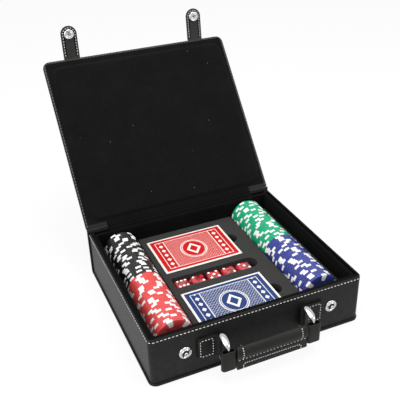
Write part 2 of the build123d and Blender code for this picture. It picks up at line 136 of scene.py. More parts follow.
def fade(value, low, high, to_low=0.0, to_high=1.0):
    """Maps a range of values to another range and stops at its ends."""
    inputs = {"Value": value, "From Min": low, "From Max": high, "To Min": to_low, "To Max": to_high}
    return add_node("ShaderNodeMapRange", inputs).outputs["Result"]


def blend(share, first, second):
    """A mix of two colours by a mask."""
    return add_node("ShaderNodeMix", {0: share, 6: first, 7: second}, data_type="RGBA").outputs[2]


def clouds(place, scale, detail=2.0, roughness=0.5):
    """Soft noise at one scale, in waves per metre."""
    inputs = {"Vector": place, "Scale": scale, "Detail": detail, "Roughness": roughness}
    return add_node("ShaderNodeTexNoise", inputs).outputs["Fac"]


def object_place(part):
    """Where a point lies on the object, in metres, in the tree of a node or socket."""
    return part.id_data.nodes.new("ShaderNodeTexCoord").outputs["Object"]


def sharpness(part):
    """How sharply the surface bends, from hollows at 0 to edges at 1."""
    return part.id_data.nodes.new("ShaderNodeNewGeometry").outputs["Pointiness"]


# %% [markdown]
# ## Effects that several materials share
# Grain, nap, pores, specks of dust and worn edges each become a node group. A group is built once, has named
# inputs and outputs, and only puts out masks and heights, so the shader itself stays in each material.

# %% Node group builder


def new_group(name, build, outputs, **inputs):
    """A node group with float sockets. build makes its outputs from the group's own inputs."""
    tree = bpy.data.node_groups.new(name, "ShaderNodeTree")
    for socket, value in inputs.items():
        made = tree.interface.new_socket(socket, in_out="INPUT", socket_type="NodeSocketFloat")
        made.default_value = value
    for socket in outputs:
        tree.interface.new_socket(socket, in_out="OUTPUT", socket_type="NodeSocketFloat")
    given = tree.nodes.new("NodeGroupInput").outputs
    outlet = tree.nodes.new("NodeGroupOutput")
    for name, value in zip(outputs, build(given, object_place(outlet))):
        feed(outlet.inputs[name], value)
    return tree


# %% Grain of the leatherette
SWAY = 0.6 * MM


def grain(given, place):
    """Small rounded cells with creases between them, and a mask of slow shade changes."""
    cells = given["Cells"]
    bend = add_node("ShaderNodeTexNoise", {"Vector": place, "Scale": calc("MULTIPLY", cells, 0.6)})
    sway = add_node("ShaderNodeVectorMath", {0: bend.outputs["Color"], "Scale": SWAY}, operation="SCALE")
    bent = add_node("ShaderNodeVectorMath", {0: place, 1: sway.outputs[0]}, operation="ADD").outputs[0]
    pebble = add_node("ShaderNodeTexVoronoi", {"Vector": bent, "Scale": cells}, feature="DISTANCE_TO_EDGE")
    crease = fade(pebble.outputs["Distance"], 0.0, 0.16)
    height = calc("MULTIPLY_ADD", clouds(place, calc("MULTIPLY", cells, 3.0)), 0.25, crease)
    return height, fade(clouds(place, 22.0, 4.0, 0.55), 0.3, 0.7)


GRAIN = new_group("leatherette_grain", grain, ("Height", "Shade"), Cells=900.0)

# %% Nap of the velvet and pores of the foam


def nap(given, place):
    """Fine upright fibres that lie a little differently from place to place."""
    fibres = clouds(place, given["Fibres"], 3.0, 0.6)
    brushed = calc("MULTIPLY", clouds(place, 35.0, 5.0, 0.6), clouds(place, 240.0, 3.0, 0.6))
    return fibres, fade(brushed, 0.14, 0.36)


def pores(given, place):
    """Closed cells of a fine foam, cut open at the surface."""
    cells = add_node("ShaderNodeTexVoronoi", {"Vector": place, "Scale": given["Pores"]})
    return fade(cells.outputs["Distance"], 0.0, 0.7), fade(clouds(place, 700.0, 4.0, 0.7), 0.3, 0.7)


NAP = new_group("velvet_nap", nap, ("Height", "Shade"), Fibres=2600.0)
PORES = new_group("foam_pores", pores, ("Height", "Shade"), Pores=1500.0)

# %% Dust and wear


def dust(given, place):
    """A few pale specks, at random places."""
    speck = add_node("ShaderNodeTexVoronoi", {"Vector": place, "Scale": 95.0}).outputs
    near = fade(speck["Distance"], 0.02, 0.045, 1.0, 0.0)
    chance = add_node("ShaderNodeSeparateColor", {"Color": speck["Color"]}).outputs[0]
    yield calc("MULTIPLY", near, calc("LESS_THAN", chance, given["Amount"]))


def wear(given, place):
    """Edges that are rubbed lighter than the flat surface."""
    edges = fade(sharpness(place), given["Start"], given["Full"])
    patchy = fade(clouds(place, 160.0, 3.0, 0.6), 0.35, 0.65, 0.4, 1.0)
    yield calc("MULTIPLY", edges, patchy)


DUST = new_group("dust_specks", dust, ("Mask",), Amount=0.5)
WEAR = new_group("edge_wear", wear, ("Mask",), Start=0.52, Full=0.62)
print("node groups", [group.name for group in bpy.data.node_groups])

# %% [markdown]
# ## Materials
# Every material starts from one Principled shader. Plain numbers go straight on the shader, and only what
# changes over the surface comes from a node: a colour between two shades, a roughness, or the height of a
# bump.

# %% Material helpers


def new_material(name, roughness, specular=0.5, metallic=0.0):
    """A material and its Principled shader, with its plain numbers."""
    material = bpy.data.materials.new(name)
    material.use_nodes = True
    shader = material.node_tree.nodes["Principled BSDF"]
    feed(shader.inputs["Roughness"], roughness)
    feed(shader.inputs["Specular IOR Level"], specular)
    feed(shader.inputs["Metallic"], metallic)
    return material, shader


def place_group(shader, group, **values):
    """A node group beside a shader, with its own values."""
    return add_node("ShaderNodeGroup", values, shader.id_data, node_tree=group).outputs


def paint(shader, mask, first, second):
    """Colours a shader with a mix of two colours."""
    feed(shader.inputs["Base Color"], blend(mask, first, second))


def raise_surface(shader, height, depth, strength):
    """Turns a height into a bump of real depth."""
    bump = add_node("ShaderNodeBump", {"Height": height, "Distance": depth, "Strength": strength})
    feed(shader.inputs["Normal"], bump.outputs["Normal"])


# %% Leatherette


def leatherette(name, dark, light, worn, cells=900.0):
    """Black leatherette: fine grain, slow shade changes and paler rubbed edges."""
    material, shader = new_material(name, 0.38, 0.13)
    skin = place_group(shader, GRAIN, Cells=cells)
    paint(shader, place_group(shader, WEAR)["Mask"], blend(skin["Shade"], dark, light), worn)
    feed(shader.inputs["Roughness"], fade(skin["Height"], 0.2, 1.2, 0.52, 0.38))
    raise_surface(shader, skin["Height"], 0.05 * MM, 0.6)
    return material


case_leather = leatherette("case_leather", "121212", "181817", "2a2a29")
handle_leather = leatherette("handle_leather", "1a1a19", "212120", "30302f", 1000.0)
strap_leather = leatherette("strap_leather", "2a2a29", "323231", "3a3a39", 1000.0)
# Painted shade: a near-black colour for a thin band that stands in for the shade in a pressed groove.
groove_painted_shade, groove_painted_shade_shader = new_material("groove_painted_shade", 0.9, 0.0)
feed(groove_painted_shade_shader.inputs["Base Color"], "060606")

# %% Velvet and foam


def velvet(name, dark, light, sheen, specks):
    """Short velvet: dark when seen from above its fibres, paler along its slopes."""
    material, shader = new_material(name, 0.95, 0.1)
    pile = place_group(shader, NAP)
    lint = place_group(shader, DUST, Amount=specks)["Mask"]
    paint(shader, lint, blend(pile["Shade"], dark, light), "8a8a88")
    feed(shader.inputs["Sheen Weight"], sheen)
    feed(shader.inputs["Sheen Roughness"], 0.45)
    raise_surface(shader, pile["Height"], 0.12 * MM, 0.7)
    return material


lid_velvet = velvet("lid_velvet", "080908", "0e0f0e", 0.02, 0.2)
# The lining velvet is the lid's velvet painted darker, as painted shade inside the tray, over the rim and on
# the hinge strip.
painted_shade_velvet = velvet("painted_shade_velvet", "030303", "070707", 0.01, 0.1)
grey_foam, foam_shader = new_material("grey_foam", 0.92, 0.15)
open_pores = place_group(foam_shader, PORES)
paint(foam_shader, open_pores["Shade"], "2f2f2e", "393938")
raise_surface(foam_shader, open_pores["Height"], 0.08 * MM, 0.6)

# %% Metal, thread and plastic
PAINTED_SHADE_FADE = 4 * MM


def metal(name, colour, roughness, painted_shade_below=None):
    """Bright plated metal with painted shade in its grooves, and a painted dark reflection below a height."""
    material, shader = new_material(name, roughness, metallic=1.0)
    # Painted shade: hollows, where the surface bends inwards, get the dark colour.
    shaded = fade(sharpness(shader), 0.42, 0.49, 1.0, 0.0)
    # Painted reflection: below the given height the metal is painted dark, for the dark leather it would
    # reflect.
    if painted_shade_below:
        height = add_node("ShaderNodeSeparateXYZ", {0: object_place(shader)}).outputs[2]
        shaded = calc("MAXIMUM", shaded, fade(height, painted_shade_below - PAINTED_SHADE_FADE, painted_shade_below, 1.0, 0.0))
    paint(shader, shaded, colour, "3a3a3b")
    return material


def thread(name, dark, light):
    """Waxed sewing thread, a little uneven in colour."""
    material, shader = new_material(name, 0.7, 0.2)
    paint(shader, fade(clouds(object_place(shader), 1400.0), 0.35, 0.65), dark, light)
    return material


def moulded(name, dark, light, roughness=0.42, specular=0.4):
    """Moulded plastic with a soft mottle."""
    material, shader = new_material(name, roughness, specular)
    place = object_place(shader)
    mottle = fade(clouds(place, 320.0, 3.0, 0.6), 0.3, 0.7)
    paint(shader, mottle, dark, light)
    feed(shader.inputs["Roughness"], fade(mottle, 0.0, 1.0, roughness * 0.85, roughness * 1.2))
    raise_surface(shader, clouds(place, 1800.0), 0.02 * MM, 0.4)
    return material


chrome = metal("chrome_plate", "ceced0", 0.12)
# Painted shade: a dark metal colour for the grooves and holes of the snaps.
painted_shade_metal = metal("painted_shade_metal", "2c2c2d", 0.3)
# The ring is painted dark below 24 mm, a painted reflection of the leather round it.
ring_chrome = metal("ring_chrome", "c2c2c4", 0.08, 24 * MM)
white_thread = thread("white_thread", "bcbcb8", "eaeae6")
grey_thread = thread("grey_thread", "5c5c5a", "7a7a78")
chip_white = moulded("chip_white", "e8e8e6", "f4f4f2")
pip_paint = moulded("pip_paint", "f0f0ee", "fafaf8", 0.3)

# %% [markdown]
# ## The studio
# The background is white and gives no light of its own: the world and the floor show white only to camera
# rays, in reflections and through clear plastic. Three large soft lamps and a dim even world light the case.
# The top lamp gives most of the light, and the left one keeps the left side of the case the palest.

# %% World and floor
WORLD_LIGHT = 0.5
SHADOW_SHARE = 0.12
FLOOR_HALF = 4
FLOOR_SHADE = 0.86
WHITE = (1, 1, 1, 1)


def sees_backdrop(tree):
    """1 for rays that meet the backdrop directly, in a mirror or through glass."""
    rays = tree.nodes.new("ShaderNodeLightPath").outputs
    direct = calc("MAXIMUM", rays["Is Camera Ray"], rays["Is Glossy Ray"])
    return calc("MAXIMUM", direct, rays["Is Transmission Ray"])


def to_mesh(bm, name):
    """A mesh from a bmesh, which is then freed."""
    mesh = bpy.data.meshes.new(name)
    bm.to_mesh(mesh)
    bm.free()
    return mesh


world = bpy.data.worlds.new("studio")
world.use_nodes = True
scene.world = world
background = world.node_tree.nodes["Background"]
feed(background.inputs["Color"], WHITE)
feed(background.inputs["Strength"], fade(sees_backdrop(world.node_tree), 0, 1, WORLD_LIGHT, 1.0))

bm = bmesh.new()
bmesh.ops.create_grid(bm, x_segments=1, y_segments=1, size=FLOOR_HALF)
floor = add_object("floor", to_mesh(bm, "floor"))
white_floor, shader = new_material("white_floor", 0.9, 0.1)
feed(shader.inputs["Base Color"], (FLOOR_SHADE, FLOOR_SHADE, FLOOR_SHADE, 1))
glow = add_node("ShaderNodeEmission", {"Color": WHITE, "Strength": 1.0}, shader.id_data)
white_share = calc("MULTIPLY", sees_backdrop(shader.id_data), 1 - SHADOW_SHARE)
mix = add_node("ShaderNodeMixShader", {0: white_share, 1: shader.outputs[0], 2: glow.outputs[0]})
feed(shader.id_data.nodes["Material Output"].inputs["Surface"], mix.outputs[0])
floor.data.materials.append(white_floor)

# %% Lamps
LAMPS = {
    "lamp_left": ((-1.3, -0.3, 0.9), (0, 0, 0.03), 1.3, 12),
    "lamp_top": ((0.1, -0.1, 1.6), (0, 0, 0.03), 1.2, 18),
    "lamp_right": ((1.1, -0.9, 0.9), (0, 0, 0.05), 0.9, 6),
}
for name, (place, target, size, power) in LAMPS.items():
    light = bpy.data.lights.new(name, "AREA")
    light.shape = "DISK"
    light.size = size
    light.energy = power
    lamp = add_object(name, light)
    lamp.location = place
    lamp.rotation_euler = (Vector(target) - Vector(place)).to_track_quat("-Z", "Y").to_euler()
scene.view_settings.view_transform = "Standard"
print("lamps", list(LAMPS))

# %% [markdown]
# ## Helpers for shapes
# Most pieces start as a flat outline with rounded corners. It is extruded to a plate, or two outlines are
# bridged to a ring and extruded to walls, and the edges are rounded with a bevel. Round parts are turned from
# a profile, as on a lathe.

# %% Finish a piece
UP = Vector((0, 0, 1))
TINY = 0.01 * MM


def smooth_object(name, bm, materials, angle=38, turn_out=True):
    """An object from a finished bmesh, smooth apart from its real edges."""
    if turn_out:
        bmesh.ops.recalc_face_normals(bm, faces=bm.faces)
    mesh = to_mesh(bm, name)
    mesh.shade_smooth()
    mesh.set_sharp_from_angle(angle=math.radians(angle))
    for material in materials:
        mesh.materials.append(material)
    return add_object(name, mesh)


def finish(name, bm, materials, body, slot, *stands_for, even=False, **smoothing):
    """Makes a piece, puts it on its body and hides the plain solids that it stands for.
    slot, a finish name, is not used. even keeps large flat faces flat beside their small rounded edges."""
    piece = smooth_object(name, bm, materials, **smoothing)
    if even:
        piece.modifiers.new("even_shading", "WEIGHTED_NORMAL").keep_sharp = True
    if body:
        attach(piece, body)
    if stands_for:
        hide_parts(*stands_for)
    print(name, len(piece.data.polygons), "faces on", body)
    return piece


# %% Places and turns


def shift(x, y, z):
    """A move by three lengths."""
    return Matrix.Translation((x, y, z))


def turn(degrees, axis):
    """A turn about an axis."""
    return Matrix.Rotation(math.radians(degrees), 4, axis)


def about(place, rotation):
    """A turn about a place instead of the origin."""
    return Matrix.Translation(place) @ rotation @ Matrix.Translation(-place)


def aligned(place, x_axis, y_axis, z_axis, sizes):
    """Sizes a shape, turns its axes to three directions and moves it to a place."""
    turned_axes = Matrix((x_axis, y_axis, z_axis)).transposed().to_4x4()
    return Matrix.Translation(place) @ turned_axes @ Matrix.Diagonal((*sizes, 1))


def middle_of(node):
    """The middle of a plain solid's box."""
    low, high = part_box(node)
    return (low + high) / 2


def put(bm, matrix):
    """Moves a whole bmesh."""
    bmesh.ops.transform(bm, matrix=matrix, verts=bm.verts)
    return bm


def join(bm, other):
    """Adds another bmesh to the first one."""
    mesh = to_mesh(other, "joined")
    bm.from_mesh(mesh)
    bpy.data.meshes.remove(mesh)
    return bm


def kind_of(geometry, kind):
    """The vertices or the edges among what an operator made."""
    return [part for part in geometry if isinstance(part, kind)]


# %% Outlines, plates and walls


def outline(half_width, front, rear, front_radius, rear_radius, height, steps=8):
    """One flat face with four rounded corners, as a new bmesh."""
    bm = bmesh.new()
    corners = bmesh.ops.create_grid(bm, x_segments=1, y_segments=1, size=0.5)["verts"]
    bmesh.ops.scale(bm, vec=(2 * half_width, rear - front, 1), verts=corners)
    bmesh.ops.translate(bm, vec=(0, (front + rear) / 2, height), verts=corners)
    for vert in corners:
        radius = front_radius if vert.co.y < (front + rear) / 2 else rear_radius
        bmesh.ops.bevel(
            bm, geom=[vert], offset=radius, segments=steps, profile=0.5, affect="VERTICES", material=-1
        )
    return bm


def raise_faces(bm, height):
    """Extrudes all faces straight up and keeps the first ones as the underside."""
    made = bmesh.ops.extrude_face_region(bm, geom=bm.faces[:], use_keep_orig=True)["geom"]
    bmesh.ops.translate(bm, vec=(0, 0, height), verts=kind_of(made, bmesh.types.BMVert))


def level_edges(bm, height):
    """The sharp edges that lie at one height."""
    level = [e for e in bm.edges if all(abs(v.co.z - height) < TINY for v in e.verts)]
    return [e for e in level if e.is_manifold and e.calc_face_angle() > 0.5]


def round_edges(bm, edges, radius, steps=3):
    """Rounds edges with a bevel."""
    bmesh.ops.bevel(
        bm, geom=edges, offset=radius, segments=steps, profile=0.5, affect="EDGES", material=-1,
        clamp_overlap=True,
    )


def plate(half_width, front, rear, front_radius, rear_radius, low, high, under, over):
    """A board with rounded corners, and with its own rounding along the underside and the top."""
    bm = outline(half_width, front, rear, front_radius, rear_radius, low)
    raise_faces(bm, high - low)
    round_edges(bm, level_edges(bm, low), under)
    round_edges(bm, level_edges(bm, high), over)
    return bm


def walls(outside, inside, low, high, outer_rounding, inner_rounding):
    """Four walls between two outlines, each given as half width, front, rear and corner radius."""
    bm = bmesh.new()
    for half_width, front, rear, radius in (outside, inside):
        join(bm, outline(half_width, front, rear, radius, radius, low))
    bmesh.ops.delete(bm, geom=bm.faces[:], context="FACES_ONLY")
    bmesh.ops.bridge_loops(bm, edges=bm.edges[:])
    raise_faces(bm, high - low)
    inner = []
    outer = []
    for edge in level_edges(bm, high):
        middle = (edge.verts[0].co + edge.verts[1].co) / 2
        within = abs(middle.x) < inside[0] + TINY and inside[1] - TINY < middle.y < inside[2] + TINY
        (inner if within else outer).append(edge)
    round_edges(bm, outer, outer_rounding, 4)
    round_edges(bm, [edge for edge in inner if edge.is_valid], inner_rounding, 4)
    return bm


# %% Softened copies, turned shapes and swept shapes


def softened_copy(node, radius):
    """A merged copy of a plain solid's mesh with its sharp edges rounded."""
    bm = bmesh.new()
    bm.from_mesh(nodes[node].data)
    bmesh.ops.remove_doubles(bm, verts=bm.verts, dist=0.002 * MM)
    bmesh.ops.dissolve_limit(bm, angle_limit=math.radians(0.5), verts=bm.verts, edges=bm.edges)
    sharp = [e for e in bm.edges if e.is_manifold and e.calc_face_angle() > math.radians(35)]
    round_edges(bm, sharp, radius, 2)
    return bm


def turned(profile, steps):
    """A round part, turned about Z from a profile of radius and height in millimetres."""
    bm = bmesh.new()
    points = [bm.verts.new((radius * MM, 0, height * MM)) for radius, height in profile]
    line = [bm.edges.new(pair) for pair in zip(points, points[1:])]
    bmesh.ops.spin(
        bm, geom=points + line, cent=(0, 0, 0), axis=UP, angle=math.tau, steps=steps, use_merge=True
    )
    bmesh.ops.remove_doubles(bm, verts=bm.verts, dist=0.001 * MM)
    return bm


def swept(frames, segments, closed):
    """A tube through a row of matrices, each of which places and sizes a unit circle."""
    bm = bmesh.new()
    loops = []
    for matrix in frames:
        verts = bmesh.ops.create_circle(bm, segments=segments, radius=1, matrix=matrix)["verts"]
        loops.append(list({e for v in verts for e in v.link_edges}))
    following = loops[1:] + loops[:1] if closed else loops[1:]
    for first, second in zip(loops, following):
        bmesh.ops.bridge_loops(bm, edges=first + second)
    return bm


# %% [markdown]
# ## Stitches
# A stitch is a short raised thread. A small sphere, stretched along the seam, shows it well from a step away
# and costs only forty-eight faces. A seam is a line of points, and stitches are set along it at an even step
# with a little unevenness, as a sewing machine leaves them.

# %% Seam lines


def corner(centre, radius, start, end, steps=6):
    """Points round a corner in a level plane, between two angles in degrees."""
    angles = [math.radians(start + (end - start) * i / steps) for i in range(steps + 1)]
    return [centre + Vector((math.cos(a), math.sin(a), 0)) * radius for a in angles]


def three_sides(half_width, front, rear, radius, height, steps=6):
    """A level line along the left, front and right sides, with two round corners and no double points."""
    line = [Vector((-half_width, rear, height))]
    for sign, start in ((-1, 180), (1, 270)):
        centre = Vector((sign * (half_width - radius), front + radius, height))
        line += corner(centre, radius, start, start + 90, steps)
    line.append(Vector((half_width, rear, height)))
    return line[:1] + [b for a, b in zip(line, line[1:]) if (b - a).length > 0.001 * MM]


def along_line(points, step):
    """Evenly spaced places on a line of points, each with the line's direction."""
    runs = [(a, b) for a, b in zip(points, points[1:]) if (b - a).length > 0]
    total = sum((b - a).length for a, b in runs)
    count = max(1, round(total / step))
    places = []
    passed = 0.0
    for a, b in runs:
        length = (b - a).length
        while len(places) < count and (len(places) + 0.5) * total / count <= passed + length:
            share = ((len(places) + 0.5) * total / count - passed) / length
            places.append((a.lerp(b, share), (b - a).normalized()))
        passed += length
    return places


# %% Stitches
THREAD_WIDTH = 0.9 * MM
THREAD_RISE = 0.7 * MM
RIM_STEP = 3.8 * MM
STRAP_STEP = 3.2 * MM
LONG_STEP = 3.6 * MM
FINE_STEP = 2.4 * MM
SLANT = 5
UNEVEN = (0.94, 1.06)
hand = random.Random(11)


def sew(bm, points, step, facing, share=0.66):
    """Raised threads along a line, each as long as a share of the step. facing is the surface's outward
    direction, or gives it from place and direction."""
    for place, along in along_line(points, step):
        out = (facing(place, along) if callable(facing) else facing).normalized()
        wobble = turn(hand.uniform(-SLANT, SLANT), "Z")
        size = Matrix.Diagonal((step * share * hand.uniform(*UNEVEN), THREAD_WIDTH, THREAD_RISE, 1))
        matrix = aligned(place, along, out.cross(along).normalized(), out, (1, 1, 1)) @ wobble @ size
        bmesh.ops.create_uvsphere(bm, u_segments=8, v_segments=6, radius=0.5, matrix=matrix)
    return bm


# %% [markdown]
# ## The tray
# The bottom is a board in leatherette, a little wider than the tray, with rounded front corners. The same
# sheet runs up the rear as the spine. The tray's four walls stand on the board. Each wall is a ring between
# two outlines, so one bevel rounds the whole rim.

# %% Bottom and spine
BOARD_ROUNDING = 0.7 * MM
SPINE_RADIUS = 0.8 * MM
FRONT_RADIUS = 8 * MM
REAR_RADIUS = 2 * MM
base_low, base_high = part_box("base_cover")
tray_low, tray_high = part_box("tray_cover")
lining_low, lining_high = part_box("tray_lining")

bm = plate(
    base_high.x, base_low.y, base_high.y, FRONT_RADIUS, REAR_RADIUS, 0, tray_low.z,
    BOARD_ROUNDING, BOARD_ROUNDING,
)
spine = outline(base_high.x, tray_high.y, base_high.y, SPINE_RADIUS, SPINE_RADIUS, tray_low.z / 2)
raise_faces(spine, base_high.z - tray_low.z / 2)
round_edges(spine, level_edges(spine, base_high.z), BOARD_ROUNDING)
finish("bottom_leather", join(bm, spine), [case_leather], "base", "leather", "base_cover", even=True)

# %% Walls of the tray
RIM_ROUNDING = 2.0 * MM
INNER_ROUNDING = 0.8 * MM
TRAY_RADIUS = 5 * MM
LINING_RADIUS = 2 * MM
WALL = 3.5 * MM
LINING_WALL = 4 * MM
RIM_VELVET_INSET = 1.1 * MM
RIM_VELVET_DEPTH = 0.5 * MM
RIM_VELVET_RISE = 0.12 * MM
RIM_VELVET_ROUNDING = (0.3 * MM, 0.1 * MM)
LINING_ROUNDING = (0.3 * MM, 0.9 * MM)


def tray_outline(inset, radius):
    """The tray's outline moved inwards: half width, front, rear and corner radius."""
    return tray_high.x - inset, tray_low.y + inset, tray_high.y - inset, radius


board_line = tray_outline(WALL, LINING_RADIUS)
bm = walls(tray_outline(0, TRAY_RADIUS), board_line, tray_low.z, tray_high.z, RIM_ROUNDING, INNER_ROUNDING)
finish("wall_leather", bm, [case_leather], "base", "leather", "tray_cover", even=True)
rim_line = tray_outline(RIM_VELVET_INSET, TRAY_RADIUS - RIM_VELVET_INSET)
rim = tray_high.z
bm = walls(rim_line, board_line, rim - RIM_VELVET_DEPTH, rim + RIM_VELVET_RISE, *RIM_VELVET_ROUNDING)
finish("rim_velvet", bm, [painted_shade_velvet], "base", "velvet", even=True)
inner_line = tray_outline(WALL + LINING_WALL, LINING_RADIUS)
bm = walls(board_line, inner_line, lining_low.z, lining_high.z, *LINING_ROUNDING)
finish("inner_wall_velvet", bm, [painted_shade_velvet], "base", "velvet", "tray_lining", even=True)

# %% Rim stitches, one row of white thread just under the rim
RIM_SEAM_DROP = 3.0 * MM
RIM_SEAM_END = 1.0 * MM

seam = three_sides(
    tray_high.x, tray_low.y, tray_high.y - RIM_SEAM_END, TRAY_RADIUS, tray_high.z - RIM_SEAM_DROP
)
bm = sew(bmesh.new(), seam, RIM_STEP, lambda place, along: along.cross(UP))
finish("rim_stitches", bm, [white_thread], "base", "thread")

# %% [markdown]
# ## The foam insert
# The foam is cut from one block, so its solid already has every pocket. A copy of it gets slightly rounded
# edges, because a cut edge of foam is never sharp.

# %% Foam
FOAM_ROUNDING = 0.45 * MM

bm = softened_copy("foam_insert", FOAM_ROUNDING)
finish("foam_block", bm, [grey_foam], "base", "foam", "foam_insert", even=True)

# %% [markdown]
# ## The lid
# The lid is drawn closed, flat over the tray, and then turned open about its fold. That keeps every size easy
# to read. A velvet pad with a soft bevel covers most of its inner side. The pad is a grid whose edge is
# extruded outwards and down, and a subdivision surface makes it soft.

# %% Lid board
hinge = next(joint for joint in frame["joints"] if joint["name"] == "lid_hinge")
hinge_place = Vector(hinge["pos_m"])
LID = about(hinge_place, turn(-hinge["range_deg"][0], Vector(hinge["axis"])))
LID_LOW = hinge_place.z
LID_THICKNESS = 4.5 * MM
LID_FRONT = -103 * MM
LID_REAR = 99.4 * MM
LID_ROUNDING = (0.8 * MM, 1.5 * MM)
lid_half = base_high.x

bm = plate(
    lid_half, LID_FRONT, LID_REAR, FRONT_RADIUS, REAR_RADIUS, LID_LOW, LID_LOW + LID_THICKNESS,
    *LID_ROUNDING,
)
finish("lid_leather", put(bm, LID), [case_leather], "lid", "leather", "lid_cover", even=True)

# %% Velvet border round the pad
BORDER_SIDE = 3.0 * MM
BORDER_FRONT = 2.6 * MM
BORDER_REAR = 5.0 * MM
BORDER_THICKNESS = 0.7 * MM
BORDER_RADIUS = 2 * MM
BORDER_ROUNDING = (0.4 * MM, 0.02 * MM)
SUNK = 0.05 * MM

bm = plate(
    lid_half - BORDER_SIDE, LID_FRONT + BORDER_FRONT, LID_REAR - BORDER_REAR, BORDER_RADIUS, BORDER_RADIUS,
    LID_LOW - BORDER_THICKNESS, LID_LOW + SUNK, *BORDER_ROUNDING,
)
finish("lid_velvet_border", put(bm, LID), [lid_velvet], "lid", "velvet", "lid_border", even=True)

# %% Velvet pad, flat inside a soft bevel and hardly crowned
PAD_SIDE = 5.0 * MM
PAD_FRONT = 7.5 * MM
PAD_REAR = 5.9 * MM
PAD_BEVEL = 5.0 * MM
PAD_THICKNESS = 3.2 * MM
PAD_CROWN = 0.5 * MM
PAD_EDGE = ((1.2, 0.25), (4.2, 2.3), (5.0, 3.0), (5.0, 3.4))


def spread(verts, middle, half, distance):
    """Moves a boundary outwards: a vertex on an x side moves in x, one on a y side in y, a corner in both."""
    for vert in verts:
        for axis in (0, 1):
            offset = vert.co[axis] - middle[axis]
            if abs(offset) > half[axis] - TINY:
                vert.co[axis] += math.copysign(distance, offset)


bm = bmesh.new()
front = LID_FRONT + PAD_FRONT
rear = LID_REAR - PAD_REAR
half = Vector((lid_half - PAD_SIDE - PAD_BEVEL, (rear - front) / 2 - PAD_BEVEL))
middle = Vector((0, (front + rear) / 2))
grid = bmesh.ops.create_grid(bm, x_segments=12, y_segments=10, size=1)["verts"]
bmesh.ops.scale(bm, vec=(half.x, half.y, 1), verts=grid)
bmesh.ops.translate(bm, vec=(*middle, LID_LOW - PAD_THICKNESS), verts=grid)
for vert in grid:
    across = (vert.co.x / half.x) ** 2
    along = ((vert.co.y - middle.y) / half.y) ** 2
    vert.co.z -= PAD_CROWN * (1 - across) * (1 - along)
reach = 0.0
for outset, height in PAD_EDGE:
    made = bmesh.ops.extrude_edge_only(bm, edges=[e for e in bm.edges if e.is_boundary])["geom"]
    moved = kind_of(made, bmesh.types.BMVert)
    spread(moved, middle, half + Vector((reach, reach)), outset * MM - reach)
    reach = outset * MM
    for vert in moved:
        vert.co.z = LID_LOW - PAD_THICKNESS + height * MM
pad = finish("lid_velvet_pad", put(bm, LID), [lid_velvet], "lid", "velvet", "lid_pad", angle=180)
soft = pad.modifiers.new("soft", "SUBSURF")
soft.levels = 2
soft.render_levels = 2

# %% Lid stitches, grey thread along the edge of the inner side
LID_SEAM_INSET = 1.75 * MM

seam = three_sides(
    lid_half - LID_SEAM_INSET, LID_FRONT + LID_SEAM_INSET, LID_REAR - LID_SEAM_INSET,
    FRONT_RADIUS - LID_SEAM_INSET, LID_LOW,
)
bm = sew(bmesh.new(), seam, RIM_STEP, -UP)
finish("lid_stitches", put(bm, LID), [grey_thread], "lid", "thread")

# %% [markdown]
# ## The velvet strip over the hinge
# One strip of velvet is glued to the inner wall, runs over the rim and across the fold, and is glued to the
# lid. It is a sheet: a line of points, extruded sideways, and given its thickness by a modifier. It bends
# between the tray and the lid.

# %% Line of the strip
VELVET = 0.4 * MM
STRIP_LID_START = 1.7 * MM
STRIP_LID_LENGTH = 4.3 * MM
FOLD_CLEARANCE = 1.35 * MM
STRIP_BEND = 0.5 * MM
strip_low, strip_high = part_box("rim_strip")


def strip_line():
    """Points (0, y, z) along the strip, from the inner wall to the lid."""
    inner = tray_high.y - WALL - LINING_WALL - VELVET / 2
    step = tray_high.y - WALL - VELVET / 2
    shelf = lining_high.z + VELVET / 2
    top = tray_high.z + VELVET / 2
    base = (
        (inner, strip_low.z), (inner, shelf - STRIP_BEND), (inner + STRIP_BEND, shelf),
        (step - STRIP_BEND, shelf), (step, shelf + STRIP_BEND), (step, top - STRIP_BEND),
        (step + STRIP_BEND, top), (strip_high.y, top),
    )
    points = [Vector((0, y, z)) for y, z in base]
    lid_end = []
    for distance in (STRIP_LID_START, STRIP_LID_START + STRIP_LID_LENGTH):
        lid_end.append(LID @ Vector((0, hinge_place.y - distance, LID_LOW - VELVET / 2)))
    half_way = (lid_end[0] - points[-1]).normalized()
    clear = Vector((0, -half_way.z, half_way.y))
    crest = Vector((0, hinge_place.y, hinge_place.z)) + clear * FOLD_CLEARANCE
    return points + [points[-1].lerp(crest, 0.55), crest, crest.lerp(lid_end[0], 0.5)] + lid_end


# %% Velvet strip, its flat size and its bend
STRIP_COLUMNS = 24

points = strip_line()
bm = bmesh.new()
verts = [bm.verts.new((-strip_high.x, p.y, p.z)) for p in points]
edges = [bm.edges.new(pair) for pair in zip(verts, verts[1:])]
for _ in range(STRIP_COLUMNS):
    made = bmesh.ops.extrude_edge_only(bm, edges=edges)["geom"]
    moved = kind_of(made, bmesh.types.BMVert)
    bmesh.ops.translate(bm, vec=(2 * strip_high.x / STRIP_COLUMNS, 0, 0), verts=moved)
    edges = [e for e in kind_of(made, bmesh.types.BMEdge) if all(v in moved for v in e.verts)]
strip = finish("hinge_velvet", bm, [painted_shade_velvet], None, "velvet", "rim_strip", "lid_strip", angle=70)
thick = strip.modifiers.new("thickness", "SOLIDIFY")
thick.thickness = VELVET
thick.offset = 0
length = sum((b - a).length for a, b in zip(points, points[1:]))
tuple(points[7])
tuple(points[-2])
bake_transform(strip)
print("strip length", round(length / MM, 1), "mm")

# %% [markdown]
# ## The straps and their snaps
# Each strap is two layers of leather with a round end, sewn near the edge, and its thin root is glued to the
# inner side of the lid. It is cut across near the fold so that it can bend there. The snap has a chromed
# socket inside and a domed cap outside, and the studs on the tray's front fit the sockets.

